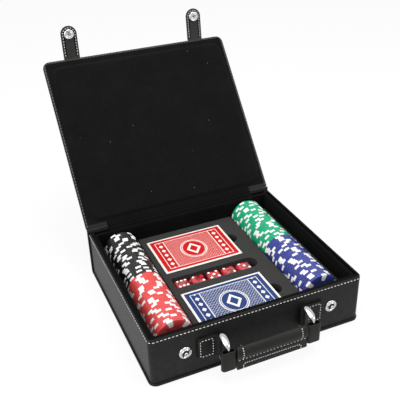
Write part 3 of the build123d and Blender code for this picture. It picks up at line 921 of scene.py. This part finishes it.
# %% Sizes of a strap
STRAP_X = 78.4 * MM
STRAP_HALF = 9.5 * MM
STRAP_THICKNESS = 2.0 * MM
STRAP_LOW = LID_LOW - 1.4 * MM
STRAP_HIGH = STRAP_LOW + STRAP_THICKNESS
STRAP_FOLD = -104.3 * MM
STRAP_BEND = 34
SNAP_PLACE = STRAP_FOLD - 27.0 * MM
ROOT_END = -100.5 * MM
ROOT_THICKNESS = 0.5 * MM
ROOT_RADIUS = 1.0 * MM
ROOT_SUNK = 0.1 * MM
NEARLY_ROUND = 0.99
STRAP_ROUNDING = 0.6 * MM
THINS_BETWEEN = (0.4 * MM, 2.0 * MM)
BENDS_BETWEEN = (-0.6 * MM, 1.2 * MM)
FOLD_CUTS = range(-3, 6)
CUT_STEP = 0.6 * MM
STRAP_SEAM_INSET = 2.3 * MM
STRAP_SEAM_START = STRAP_FOLD - 1.5 * MM
GROOVE_INSET = 3.7 * MM
GROOVE_SIZES = (0.5 * MM, 0.06 * MM, 1)
FOLD_PLACE = Vector((0, STRAP_FOLD, (STRAP_LOW + STRAP_HIGH) / 2))
BENT = about(FOLD_PLACE, turn(STRAP_BEND, "X"))

# %% Strap, whose leather and stitches are bent down beyond the fold


def smooth_step(value, start, end):
    """0 before start, 1 after end and a smooth step between them."""
    share = min(1.0, max(0.0, (value - start) / (end - start)))
    return share * share * (3 - 2 * share)


def strap_mesh():
    """A strap at x = 0 on the closed lid, thin at its root and bent down beyond its fold."""
    end_radius = STRAP_HALF * NEARLY_ROUND
    bm = outline(STRAP_HALF, SNAP_PLACE - STRAP_HALF, ROOT_END, end_radius, ROOT_RADIUS, STRAP_LOW, 14)
    raise_faces(bm, STRAP_THICKNESS)
    round_edges(bm, level_edges(bm, STRAP_LOW) + level_edges(bm, STRAP_HIGH), STRAP_ROUNDING)
    for cut in FOLD_CUTS:
        geometry = bm.verts[:] + bm.edges[:] + bm.faces[:]
        plane = (0, STRAP_FOLD + cut * CUT_STEP, 0)
        bmesh.ops.bisect_plane(bm, geom=geometry, plane_co=plane, plane_no=(0, 1, 0))
    for vert in bm.verts:
        root = smooth_step(vert.co.y - STRAP_FOLD, *THINS_BETWEEN)
        share = (vert.co.z - STRAP_LOW) / STRAP_THICKNESS
        thin = LID_LOW + ROOT_SUNK - ROOT_THICKNESS * (1 - share)
        vert.co.z += (thin - vert.co.z) * root
    for vert in bm.verts:
        share = smooth_step(STRAP_FOLD - vert.co.y, *BENDS_BETWEEN)
        vert.co = about(FOLD_PLACE, turn(STRAP_BEND * share, "X")) @ vert.co
    return bm


def strap_line(inset, height, steps):
    """A line round the strap's end, beside its edge."""
    half = STRAP_HALF - inset
    return three_sides(half, SNAP_PLACE - half, STRAP_SEAM_START, half, height, steps)


def strap_groove_shade():
    """Painted shade of the pressed line inside the stitches and round the socket, on the strap's inner side.
    """
    line = strap_line(GROOVE_INSET, STRAP_LOW, 10)
    frames = []
    for place, before, after in zip(line, line[:1] + line, line[1:] + line[-1:]):
        along = (after - before).normalized()
        frames.append(aligned(place, along.cross(UP), UP, along, GROOVE_SIZES))
    return swept(frames, 8, False)


for name, x in (("strap_left", -STRAP_X), ("strap_right", STRAP_X)):
    place = LID @ shift(x, 0, 0)
    bm = put(strap_mesh(), place)
    strap = finish(name + "_leather", bm, [strap_leather], None, "leather", name, even=True)
    bm = bmesh.new()
    for height, out in ((STRAP_LOW, -UP), (STRAP_HIGH, UP)):
        sew(bm, strap_line(STRAP_SEAM_INSET, height, 7), STRAP_STEP, out, 0.54)
    threads = finish(name + "_stitches", put(bm, place @ BENT), [white_thread], None, "thread")
    for piece in (strap, threads):
        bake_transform(piece)
    # Each strap gets a thin near-black band as the painted shade of its pressed line.
    finish(name + "_groove", put(strap_groove_shade(), place @ BENT), [groove_painted_shade], name, "leather")

# %% Snaps, each profile in millimetres from the middle outwards
STUD_Z = 28.8 * MM
ROUND_STEPS = 40
STUD_PROFILE = (
    (0, 2.1), (0.75, 2.1), (0.9, 2.3), (0.95, 3.0), (1.15, 3.2), (1.5, 3.2), (1.9, 2.95), (2.0, 2.6),
    (2.05, 1.15), (2.3, 0.9), (3.2, 0.9), (3.5, 1.1), (3.9, 1.8), (4.15, 1.9), (4.4, 1.75), (4.5, 1.2),
    (4.9, 0.95), (5.9, 0.8), (6.35, 0.5), (6.5, 0),
)
# Rings of painted shade, each from one radius to another in millimetres.
STUD_PAINTED_SHADE = ((0, 0.9), (2.0, 3.4))
SOCKET_PROFILE = (
    (0, 0.3), (0.9, 0.3), (2.2, 0.35), (2.45, 0.6), (2.5, 1.6), (2.75, 1.9), (3.1, 1.95), (3.4, 1.7),
    (3.7, 1.65), (4.0, 1.9), (4.4, 2.1), (5.0, 2.05), (5.5, 1.75), (5.8, 1.2), (5.85, 0),
)
SOCKET_PAINTED_SHADE = ((0, 1.0),)
CAP_PROFILE = ((0, 1.3), (2.0, 1.27), (3.6, 1.13), (4.8, 0.87), (5.6, 0.5), (5.9, 0.2), (6.0, 0))


def snap_part(profile, dark):
    """One turned part of a snap. dark gives the rings, each from one radius to another, that are grooves or
    holes and get painted shade."""
    bm = turned(profile, ROUND_STEPS)
    bmesh.ops.holes_fill(bm, edges=[e for e in bm.edges if e.is_boundary])
    for face in bm.faces:
        radii = [math.hypot(vert.co.x, vert.co.y) / MM for vert in face.verts]
        middle = (min(radii) + max(radii)) / 2
        if face.calc_center_median().z > 0 and any(start < middle < end for start, end in dark):
            face.material_index = 1
    return bm


for side, x in (("left", -STRAP_X), ("right", STRAP_X)):
    strap = "strap_" + side
    on_front = shift(x, tray_low.y, STUD_Z) @ turn(90, "X")
    inner = LID @ BENT @ shift(x, SNAP_PLACE, STRAP_LOW) @ turn(180, "X")
    outer = LID @ BENT @ shift(x, SNAP_PLACE, STRAP_HIGH)
    for name, profile, dark, place, body, node in (
        ("stud", STUD_PROFILE, STUD_PAINTED_SHADE, on_front, "base", "stud_"),
        ("socket", SOCKET_PROFILE, SOCKET_PAINTED_SHADE, inner, strap, "snap_socket_"),
        ("cap", CAP_PROFILE, (), outer, strap, "snap_cap_"),
    ):
        bm = put(snap_part(profile, dark), place)
        metals = [chrome, painted_shade_metal] if dark else [chrome]
        finish(name + "_chrome_" + side, bm, metals, body, "chrome", node + side, angle=50)

# %% [markdown]
# ## Patches and rings
# A doubled patch of leather is sewn to the front on each side and holds an oval ring. The ring is bright wire
# that widens to a leaf at its top and bottom. It is swept: a circle is placed along the loop, stretched
# sideways where the leaf is, and neighbouring circles are bridged.

# %% Patches, softened copies with a rounded rectangle of stitches
PATCH_FRONT = -101.8 * MM
PATCH_SEAM_RADIUS = 1.6 * MM
PATCH_ROUNDING = 0.35 * MM
PATCH_CORNERS = ((53.1, 21.2, 180), (62.8, 21.2, 270), (62.8, 37.0, 0), (53.1, 37.0, 90))
FORWARD = Vector((0, -1, 0))

for side, sign in (("left", -1), ("right", 1)):
    node = "patch_" + side
    bm = softened_copy(node, PATCH_ROUNDING)
    finish("patch_leather_" + side, bm, [case_leather], "base", "leather", node, even=True)
    seam = []
    for x, z, start in PATCH_CORNERS:
        for point in corner(Vector((x, z, 0)) * MM, PATCH_SEAM_RADIUS, start, start + 90, 4):
            seam.append(Vector((sign * point.x, PATCH_FRONT, point.y)))
    bm = sew(bmesh.new(), seam + seam[:1], STRAP_STEP, FORWARD, 0.6)
    finish("patch_stitches_" + side, bm, [white_thread], "base", "thread")

# %% Rings
RING_X = 44.8 * MM
RING_REAR = -102.3 * MM
RING_FRONT = -120.3 * MM
WIRE = 1.5 * MM
LEG_LOW = 13.5 * MM
LEG_HIGH = 39.0 * MM
REAR_RISE = 4.0 * MM
ARCH_RISE = 2.4 * MM
LEAF_HALF = 3.5 * MM
LEAF_THICKNESS = 1.05 * MM
BEND_START = 2.0 * MM
ARCH_STEPS = 22
SIDEWAYS = Vector((1, 0, 0))


def arch_point(share):
    """A place (y, z) on the top arch: share 0 is the rear leg, 1 the front leg."""
    middle = (RING_REAR + RING_FRONT) / 2
    half = (RING_REAR - RING_FRONT) / 2
    angle = math.pi * share
    y = middle + half * math.copysign(abs(math.cos(angle)) ** 0.75, math.cos(angle))
    return y, LEG_HIGH - BEND_START + (ARCH_RISE + BEND_START) * math.sin(angle) ** 0.75


def ring_frames(x):
    """Places and sizes of the circles round the ring, whose rear leg hangs higher."""
    shares = [step / ARCH_STEPS for step in range(ARCH_STEPS + 1)]
    top = [(*arch_point(share), share) for share in shares]
    bottom = [(RING_REAR + RING_FRONT - y, LEG_HIGH + LEG_LOW - z, share) for y, z, share in top]
    slant = REAR_RISE / (RING_REAR - RING_FRONT)
    places = [(Vector((x, y, z + slant * (y - RING_FRONT))), share) for y, z, share in top + bottom]
    frames = []
    for index, (place, share) in enumerate(places):
        along = (places[(index + 1) % len(places)][0] - places[index - 1][0]).normalized()
        leaf = math.sin(math.pi * share) ** 1.6
        sizes = (WIRE + (LEAF_HALF - WIRE) * leaf, WIRE + (LEAF_THICKNESS - WIRE) * leaf, 1)
        frames.append(aligned(place, SIDEWAYS, along.cross(SIDEWAYS), along, sizes))
    return frames


for side, x in (("left", -RING_X), ("right", RING_X)):
    bm = swept(ring_frames(x), 14, True)
    node = "ring_" + side
    finish("ring_chrome_" + side, bm, [ring_chrome], node, "chrome", node, angle=60)

# %% [markdown]
# ## The handle
# A doubled strap ends in a flat loop round each ring. Padding and a leather wrap make a roll along its upper
# half, and below the roll the wrap is sewn together as a flat flap. The wrap is one subdivided cube: a
# function gives its thickness at every place, with a pinch where a seam pulls the leather in.

# %% Thickness of the wrap
GRIP_HALF = 37.2 * MM
GRIP_LOW = 10 * MM
GRIP_HIGH = 36.2 * MM
ROLL_CENTRE = 29.0 * MM
ROLL_HALF_HEIGHT = 7.2 * MM
ROLL_THICKNESS = 5.2 * MM
END_THICKNESS = 4.3 * MM
FLAP_THICKNESS = 2.6 * MM
BAND_START = 31.0 * MM
SEAM_HIGH = 21.9 * MM
SEAM_LOW = 16.7 * MM
GRIP_CORNER = 2.2 * MM
BAND_BLEND = 1.3 * MM
FOOT_ROUNDING = 1.2 * MM
SWELL = 0.06
END_PINCH = (0.55 * MM, 0.7 * MM)
HIGH_PINCH = (0.35 * MM, 1.0 * MM)
LOW_PINCH = (0.25 * MM, 0.8 * MM)
THINNEST = 0.02 * MM


def pinch(distance, depth, width):
    """A narrow dip in the leather, deepest at its seam."""
    return depth * math.exp(-((distance / width) ** 2))


def wrap_half_thickness(x, z):
    """How far the wrap reaches from its middle plane."""
    reach = abs(x)
    band = smooth_step(reach - BAND_START, 0, BAND_BLEND)
    swell = 1 - SWELL * (reach / BAND_START) ** 2
    thickness = ROLL_THICKNESS * swell * (1 - band) + END_THICKNESS * band
    rise = (z - ROLL_CENTRE) / (ROLL_HALF_HEIGHT - 0.2 * MM * band)
    roll = thickness * math.sqrt(max(0.0, 1 - rise * rise))
    roll -= pinch(reach - BAND_START, *END_PINCH) * smooth_step(roll, 0, 2 * MM)
    bottom = min(1.0, max(0.0, (z - GRIP_LOW) / FOOT_ROUNDING))
    flap = FLAP_THICKNESS * math.sqrt(1 - (1 - bottom) ** 2) if z < ROLL_CENTRE else 0.0
    flap -= pinch(z - SEAM_HIGH, *HIGH_PINCH)
    flap -= pinch(z - SEAM_LOW, *LOW_PINCH) * (1 - band)
    return max(roll, flap, THINNEST)


def side_limit(z):
    """How far the wrap reaches to the side, with rounded corners at the top and the bottom."""
    past = max(0.0, GRIP_LOW + GRIP_CORNER - z, z - GRIP_HIGH + GRIP_CORNER)
    return GRIP_HALF - GRIP_CORNER + math.sqrt(max(0.0, GRIP_CORNER**2 - past**2))


# %% Wrap round roll and flap
WRAP_CUTS = ((0, 89), (2, 47), (1, 3))

bm = bmesh.new()
bmesh.ops.create_cube(bm, size=1)
for axis, cuts in WRAP_CUTS:
    edges = [e for e in bm.edges if abs(e.verts[0].co[axis] - e.verts[1].co[axis]) > 0.5]
    bmesh.ops.subdivide_edges(bm, edges=edges, cuts=cuts, use_grid_fill=True)
for vert in bm.verts:
    share = 0.5 - 0.5 * math.cos(math.pi * (vert.co.z + 0.5))
    z = GRIP_LOW + (GRIP_HIGH - GRIP_LOW) * share
    x = 2 * vert.co.x * side_limit(z)
    vert.co = (x, RING_FRONT + 2 * vert.co.y * wrap_half_thickness(x, z), z)
wrap = finish(
    "handle_wrap", bm, [handle_leather], "handle", "leather", "handle_grip", "handle_padding", angle=60
)

# %% Handle stitches: two seams on each side and one across the roll at each end
LONG_SEAM = 0.975 * GRIP_HALF
FLAP_SEAM_HALF = BAND_START - 0.4 * MM
FLAP_SEAM = (
    (FLAP_SEAM_HALF, GRIP_LOW + 1.2 * MM), (FLAP_SEAM_HALF, SEAM_LOW - 2.0 * MM),
    (FLAP_SEAM_HALF - 2.0 * MM, SEAM_LOW),
)
ROLL_SEAM_INSET = 0.6 * MM
ROLL_SEAM_ANGLES = (8, 172)
ROLL_SEAM_STEPS = 24
LONG_SEAM_STEPS = 40


def on_wrap(x, z, side):
    """A place on the wrap's surface, on its front (-1) or rear (1) side."""
    return Vector((x, RING_FRONT + side * wrap_half_thickness(x, z), z))


bm = bmesh.new()
for side in (-1, 1):
    out = Vector((0, side, 0))
    run = [LONG_SEAM * (2 * step / LONG_SEAM_STEPS - 1) for step in range(LONG_SEAM_STEPS + 1)]
    sew(bm, [on_wrap(x, SEAM_HIGH, side) for x in run], LONG_STEP, out, 0.5)
    line = [(-x, z) for x, z in FLAP_SEAM] + list(reversed(FLAP_SEAM))
    sew(bm, [on_wrap(x, z, side) for x, z in line], FINE_STEP, out, 0.74)
for x in (-BAND_START, BAND_START):
    line = []
    start, end = ROLL_SEAM_ANGLES
    for step in range(ROLL_SEAM_STEPS + 1):
        angle = math.radians(start + (end - start) * step / ROLL_SEAM_STEPS)
        z = ROLL_CENTRE - (ROLL_HALF_HEIGHT - ROLL_SEAM_INSET) * math.cos(2 * angle)
        side = -1 if angle < math.pi / 2 else 1
        line.append(on_wrap(x, max(z, SEAM_HIGH + ROLL_SEAM_INSET), side))
    centre = Vector((x, RING_FRONT, ROLL_CENTRE))
    sew(bm, line, FINE_STEP, lambda place, along: place - centre, 0.74)
finish("handle_stitches", bm, [white_thread], "handle", "thread")

# %% Flat leather loop round each ring's front leg
LOOP_CENTRE = 44.9 * MM
LOOP_HALF = 7.3 * MM
LOOP_THICKNESS = 3.3 * MM
LOOP_LEATHER = 1.4 * MM
LOOP_LOW = 14.0 * MM
LOOP_HIGH = 35.6 * MM
LOOP_ROUNDING = 0.45 * MM
LOOP_ROUNDNESS = 0.97
hole = LOOP_THICKNESS - LOOP_LEATHER

bm = bmesh.new()
for sign in (-1, 1):
    outside = (LOOP_HALF, -LOOP_THICKNESS, LOOP_THICKNESS, LOOP_THICKNESS * LOOP_ROUNDNESS)
    inside = (LOOP_HALF - LOOP_LEATHER, -hole, hole, hole * LOOP_ROUNDNESS)
    loop = walls(outside, inside, LOOP_LOW, LOOP_HIGH, LOOP_ROUNDING, LOOP_ROUNDING)
    round_edges(loop, level_edges(loop, LOOP_LOW), LOOP_ROUNDING)
    join(bm, put(loop, shift(sign * LOOP_CENTRE, RING_FRONT, 0)))
finish("handle_loops", bm, [handle_leather], "handle", "leather", "handle_strap")

# %% [markdown]
# ## The chips
# A chip is moulded in one colour with six white spots over its edge. It is turned from a profile in sixty
# steps, so a spot is three steps out of ten. Each row is one piece: the same chip twenty-five times, each
# turned at random, because nobody lines up the spots.

# %% One chip, lying flat, with its spots and inlay as material numbers
CHIP_HALF = ((0, 1.45), (12.2, 1.45), (12.6, 1.58), (18.6, 1.65), (19.1, 1.5), (19.4, 1.2), (19.5, 0.7))
INLAY_RADIUS = 12.3
CHIP_STEPS = 60
SPOT_PITCH = 10
SPOT_STEPS = 3

bm = turned([*CHIP_HALF, *((radius, -z) for radius, z in reversed(CHIP_HALF))], CHIP_STEPS)
bmesh.ops.recalc_face_normals(bm, faces=bm.faces)
for face in bm.faces:
    centre = face.calc_center_median()
    step = int((math.atan2(centre.y, centre.x) % math.tau) / math.tau * CHIP_STEPS)
    if math.hypot(centre.x, centre.y) < INLAY_RADIUS * MM:
        face.material_index = 2
    elif step % SPOT_PITCH < SPOT_STEPS:
        face.material_index = 1
chip = to_mesh(bm, "chip")

# %% Rows of chips
CHIPS = 25
CHIP_PITCH = 3.35 * MM
CHIP_COLOURS = {
    "black": ("101011", "1a1a1b", "0e0e0f"),
    "red": ("cc4040", "d8504e", "b4282a"),
    "green": ("009668", "00a476", "007e56"),
    "blue": ("2c3682", "38428e", "404a96"),
}
shuffle = random.Random(5)

for colour, (dark, light, inlay) in CHIP_COLOURS.items():
    materials = [moulded("chip_" + colour, dark, light, 0.34, 0.45), chip_white]
    materials.append(moulded("inlay_" + colour, inlay, light))
    middle = middle_of("chips_" + colour)
    start = middle.y + (CHIPS - 1) / 2 * CHIP_PITCH
    bm = bmesh.new()
    for index in range(CHIPS):
        first = len(bm.verts)
        bm.from_mesh(chip)
        bm.verts.ensure_lookup_table()
        off = Vector((shuffle.uniform(-0.12, 0.12), 0, shuffle.uniform(-0.1, 0.1))) * MM
        place = Matrix.Translation(Vector((middle.x, start - index * CHIP_PITCH, middle.z)) + off)
        rolled = Matrix.Rotation(shuffle.uniform(0, math.tau), 4, "Z")
        bmesh.ops.transform(bm, matrix=place @ turn(90, "X") @ rolled, verts=bm.verts[first:])
    node = "chips_" + colour
    finish("chip_row_" + colour, bm, materials, node, "chip_" + colour, node, turn_out=False)

# %% [markdown]
# ## The dice
# The dice are clear red plastic with white pips. A cube is rounded by moving its vertices, and shallow pips
# are cut by small spheres with a boolean, whose faces keep the paint of the spheres.

# %% Shape of a die
DIE_HALF = 8.0 * MM
DIE_ROUNDING = 3.4 * MM
DIE_CUTS = 15
PIP_STEP = 4.48 * MM
PIP_RADIUS = 1.5 * MM
PIP_DEPTH = 0.55 * MM
PIP_BALL = (PIP_RADIUS**2 + PIP_DEPTH**2) / (2 * PIP_DEPTH)
PIP_ORDER = ((-1, 1), (1, -1), (-1, -1), (1, 1), (0, -1), (0, 1))


def rounded_cube():
    """A cube with rounded edges and corners."""
    bm = bmesh.new()
    bmesh.ops.create_cube(bm, size=2 * DIE_HALF)
    bmesh.ops.subdivide_edges(bm, edges=bm.edges[:], cuts=DIE_CUTS, use_grid_fill=True)
    flat = DIE_HALF - DIE_ROUNDING
    for vert in bm.verts:
        core = Vector([max(-flat, min(flat, value)) for value in vert.co])
        vert.co = core + (vert.co - core).normalized() * DIE_ROUNDING
    return bm


def pip_balls(top, front, right):
    """The balls that cut the pips of a die, whose top, front and right numbers are given."""
    turns = (
        (top, turn(0, "X")), (7 - top, turn(180, "X")), (front, turn(90, "X")),
        (7 - front, turn(-90, "X")), (right, turn(90, "Y")), (7 - right, turn(-90, "Y")),
    )
    bm = bmesh.new()
    for count, rotation in turns:
        places = [(0, 0)] * (count % 2) + list(PIP_ORDER[:count - count % 2])
        for across, along in places:
            matrix = rotation @ shift(across * PIP_STEP, along * PIP_STEP, DIE_HALF - PIP_DEPTH + PIP_BALL)
            bmesh.ops.create_icosphere(bm, subdivisions=4, radius=PIP_BALL, matrix=matrix)
    return bm


# %% Dice, cut and painted
DICE_FACES = ((6, 2, 3), (2, 3, 1), (5, 1, 4), (2, 4, 6), (3, 6, 5))

clear_red, shader = new_material("clear_red", 0.08, 0.6)
# The mottle between dark and bright red is painted light and shade, standing in for light refracted inside
# the clear plastic.
paint(shader, fade(clouds(object_place(shader), 190.0, 1.0), 0.42, 0.58), "8c0a12", "e23640")
feed(shader.inputs["Transmission Weight"], 0.3)
feed(shader.inputs["Coat Weight"], 0.6)
feed(shader.inputs["IOR"], 1.49)
feed(shader.inputs["Roughness"], fade(clouds(object_place(shader), 700.0), 0.3, 0.7, 0.05, 0.14))

for number, faces in enumerate(DICE_FACES, start=1):
    name = "die_" + str(number)
    cube = smooth_object("cube", rounded_cube(), [clear_red, pip_paint])
    balls = smooth_object("balls", pip_balls(*faces), [pip_paint])
    cut = cube.modifiers.new("pips", "BOOLEAN")
    cut.object = balls
    cut.operation = "DIFFERENCE"
    cut.solver = "EXACT"
    cut.material_mode = "TRANSFER"
    mesh = bpy.data.meshes.new_from_object(cube.evaluated_get(bpy.context.evaluated_depsgraph_get()))
    bpy.data.objects.remove(cube)
    bpy.data.objects.remove(balls)
    bm = bmesh.new()
    bm.from_mesh(mesh)
    put(bm, Matrix.Translation(middle_of(name)))
    finish("dice_" + str(number), bm, [clear_red, pip_paint], name, "dice", name, angle=30)

# %% [markdown]
# ## The boxes of cards
# Each deck is in a tuck box of thin card. The print is a plain geometric one: a coloured frame, a lattice, a
# medallion with a diamond, and a row of diamonds at each end. It is worked out from the place on the box with
# simple masks, so it stays sharp at any distance.

# %% Print masks


def below(value, limit):
    """1 where a value is below a limit."""
    return calc("LESS_THAN", value, limit)


def largest(first, second):
    """The larger of two values, which joins two masks or measures a rectangle."""
    return calc("MAXIMUM", first, second)


def without(mask, hole):
    """A mask with another mask cut out of it."""
    return calc("MULTIPLY", mask, calc("SUBTRACT", 1.0, hole))


def box_mask(u, v, half_u, half_v):
    """1 inside a rectangle round the centre."""
    return below(largest(calc("SUBTRACT", u, half_u), calc("SUBTRACT", v, half_v)), 0.0)


def diamond_mask(u, v, half_u, half_v):
    """1 inside a diamond round the centre."""
    return below(calc("ADD", calc("DIVIDE", u, half_u), calc("DIVIDE", v, half_v)), 1.0)


def oval_mask(u, v, half_u, half_v):
    """1 inside an oval round the centre."""
    squares = [calc("POWER", calc("DIVIDE", value, half), 2.0) for value, half in ((u, half_u), (v, half_v))]
    return below(calc("ADD", *squares), 1.0)


def repeat(value, pitch):
    """The distance to the middle of the nearest of many equal steps."""
    return calc("ABSOLUTE", calc("WRAP", value, pitch / 2, -pitch / 2))


# %% Card box print, half sizes in millimetres
BORDER = (42.6, 30.1)
FRAME = (38.0, 26.4)
LINE = (37.2, 25.6)
FIELD = (27.2, 25.6)
BAND = 28.2
LATTICE_PITCH = 3.6
LATTICE_LINE = 0.17
MEDALLION = (15.0, 17.5)
OUTER_RING = (13.8, 16.3)
RING_HOLE = (13.0, 15.5)
OVAL = (12.2, 14.7)
DIAMOND = (8.5, 11.5)
HEART = (5.0, 7.0)
END_DIAMOND = (2.6, 3.2)
DIAMOND_PITCH = 9.0
SIDE_INK = 0.4 * MM


def card_print(u, v):
    """The mask of the coloured ink on the top of a box, in millimetres from its centre."""
    across = calc("ABSOLUTE", u)
    along = calc("ABSOLUTE", v)
    frame_ring = without(box_mask(across, along, *BORDER), box_mask(across, along, *FRAME))
    ends = without(box_mask(across, along, *LINE), box_mask(across, along, BAND, FIELD[1]))
    slopes = [repeat(calc(slope, u, v), LATTICE_PITCH) for slope in ("ADD", "SUBTRACT")]
    crossing = calc("GREATER_THAN", calc("MINIMUM", *slopes), LATTICE_LINE)
    lattice = calc("MULTIPLY", box_mask(across, along, *FIELD), crossing)
    oval = without(oval_mask(across, along, *OVAL), diamond_mask(across, along, *DIAMOND))
    filled = largest(oval, diamond_mask(across, along, *HEART))
    ring = without(oval_mask(across, along, *OUTER_RING), oval_mask(across, along, *RING_HOLE))
    end_place = calc("ABSOLUTE", calc("SUBTRACT", across, (LINE[0] + BAND) / 2))
    row = without(ends, diamond_mask(end_place, repeat(v, DIAMOND_PITCH), *END_DIAMOND))
    middle = largest(without(lattice, oval_mask(across, along, *MEDALLION)), largest(ring, filled))
    return largest(frame_ring, largest(middle, row))


def printed_card(name, centre, top, ink, deep):
    """Varnished card: ink on the top by masks, and ink all over the sides."""
    material, shader = new_material(name, 0.32, 0.25)
    place = object_place(shader)
    from_centre = add_node("ShaderNodeVectorMath", {0: place, 1: centre}, operation="SUBTRACT").outputs[0]
    in_mm = add_node("ShaderNodeVectorMath", {0: from_centre, "Scale": 1 / MM}, operation="SCALE").outputs[0]
    u, v = add_node("ShaderNodeSeparateXYZ", {0: in_mm}).outputs[:2]
    height = add_node("ShaderNodeSeparateXYZ", {0: place}).outputs[2]
    on_side = calc("SUBTRACT", 1.0, calc("GREATER_THAN", height, top - SIDE_INK))
    fibre = fade(clouds(place, 500.0, 3.0, 0.6), 0.3, 0.7)
    paint(shader, largest(card_print(u, v), on_side), "e4e3de", blend(fibre, deep, ink))
    feed(shader.inputs["Roughness"], fade(fibre, 0, 1, 0.26, 0.4))
    raise_surface(shader, fibre, 0.01 * MM, 0.5)
    return material


# %% Card boxes
BOX_EDGE = 0.6 * MM
BOX_ROUNDING = (0.4 * MM, 0.45 * MM)
INKS = {"red": ("c81a1a", "bc1414"), "blue": ("1e3874", "183068")}

for colour, (ink, deep) in INKS.items():
    low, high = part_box("card_box_" + colour)
    middle = (low + high) / 2
    half = (high - low) / 2
    bm = plate(half.x, -half.y, half.y, BOX_EDGE, BOX_EDGE, low.z, high.z, *BOX_ROUNDING)
    put(bm, shift(middle.x, middle.y, 0))
    material = printed_card("print_" + colour, middle, high.z, ink, deep)
    node = "card_box_" + colour
    finish("tuck_box_" + colour, bm, [material], "cards_" + colour, node, node, even=True)

# %% [markdown]
# ## Pieces that stay as they are
# The boards and the decks are hidden inside their covers, and the fold shows only its leather. Their solids
# already have the right shape, so they only get a finish.

# %% Finish of the kept solids
greyboard = moulded("greyboard", "77736c", "8a867e", 0.9, 0.1)
card_stock = moulded("card_stock", "e6e4dd", "f2f0ea", 0.6, 0.3)
KEPT = {
    case_leather: ("leather_fold",),
    greyboard: ("bottom_board", "spine_board", "tray_board", "lid_board"),
    card_stock: ("card_deck_red", "card_deck_blue"),
}
for material, kept_nodes in KEPT.items():
    for node in kept_nodes:
        nodes[node].data.materials.clear()
        nodes[node].data.materials.append(material)

# %% [markdown]
# ## Finish

# %% End
print("done")
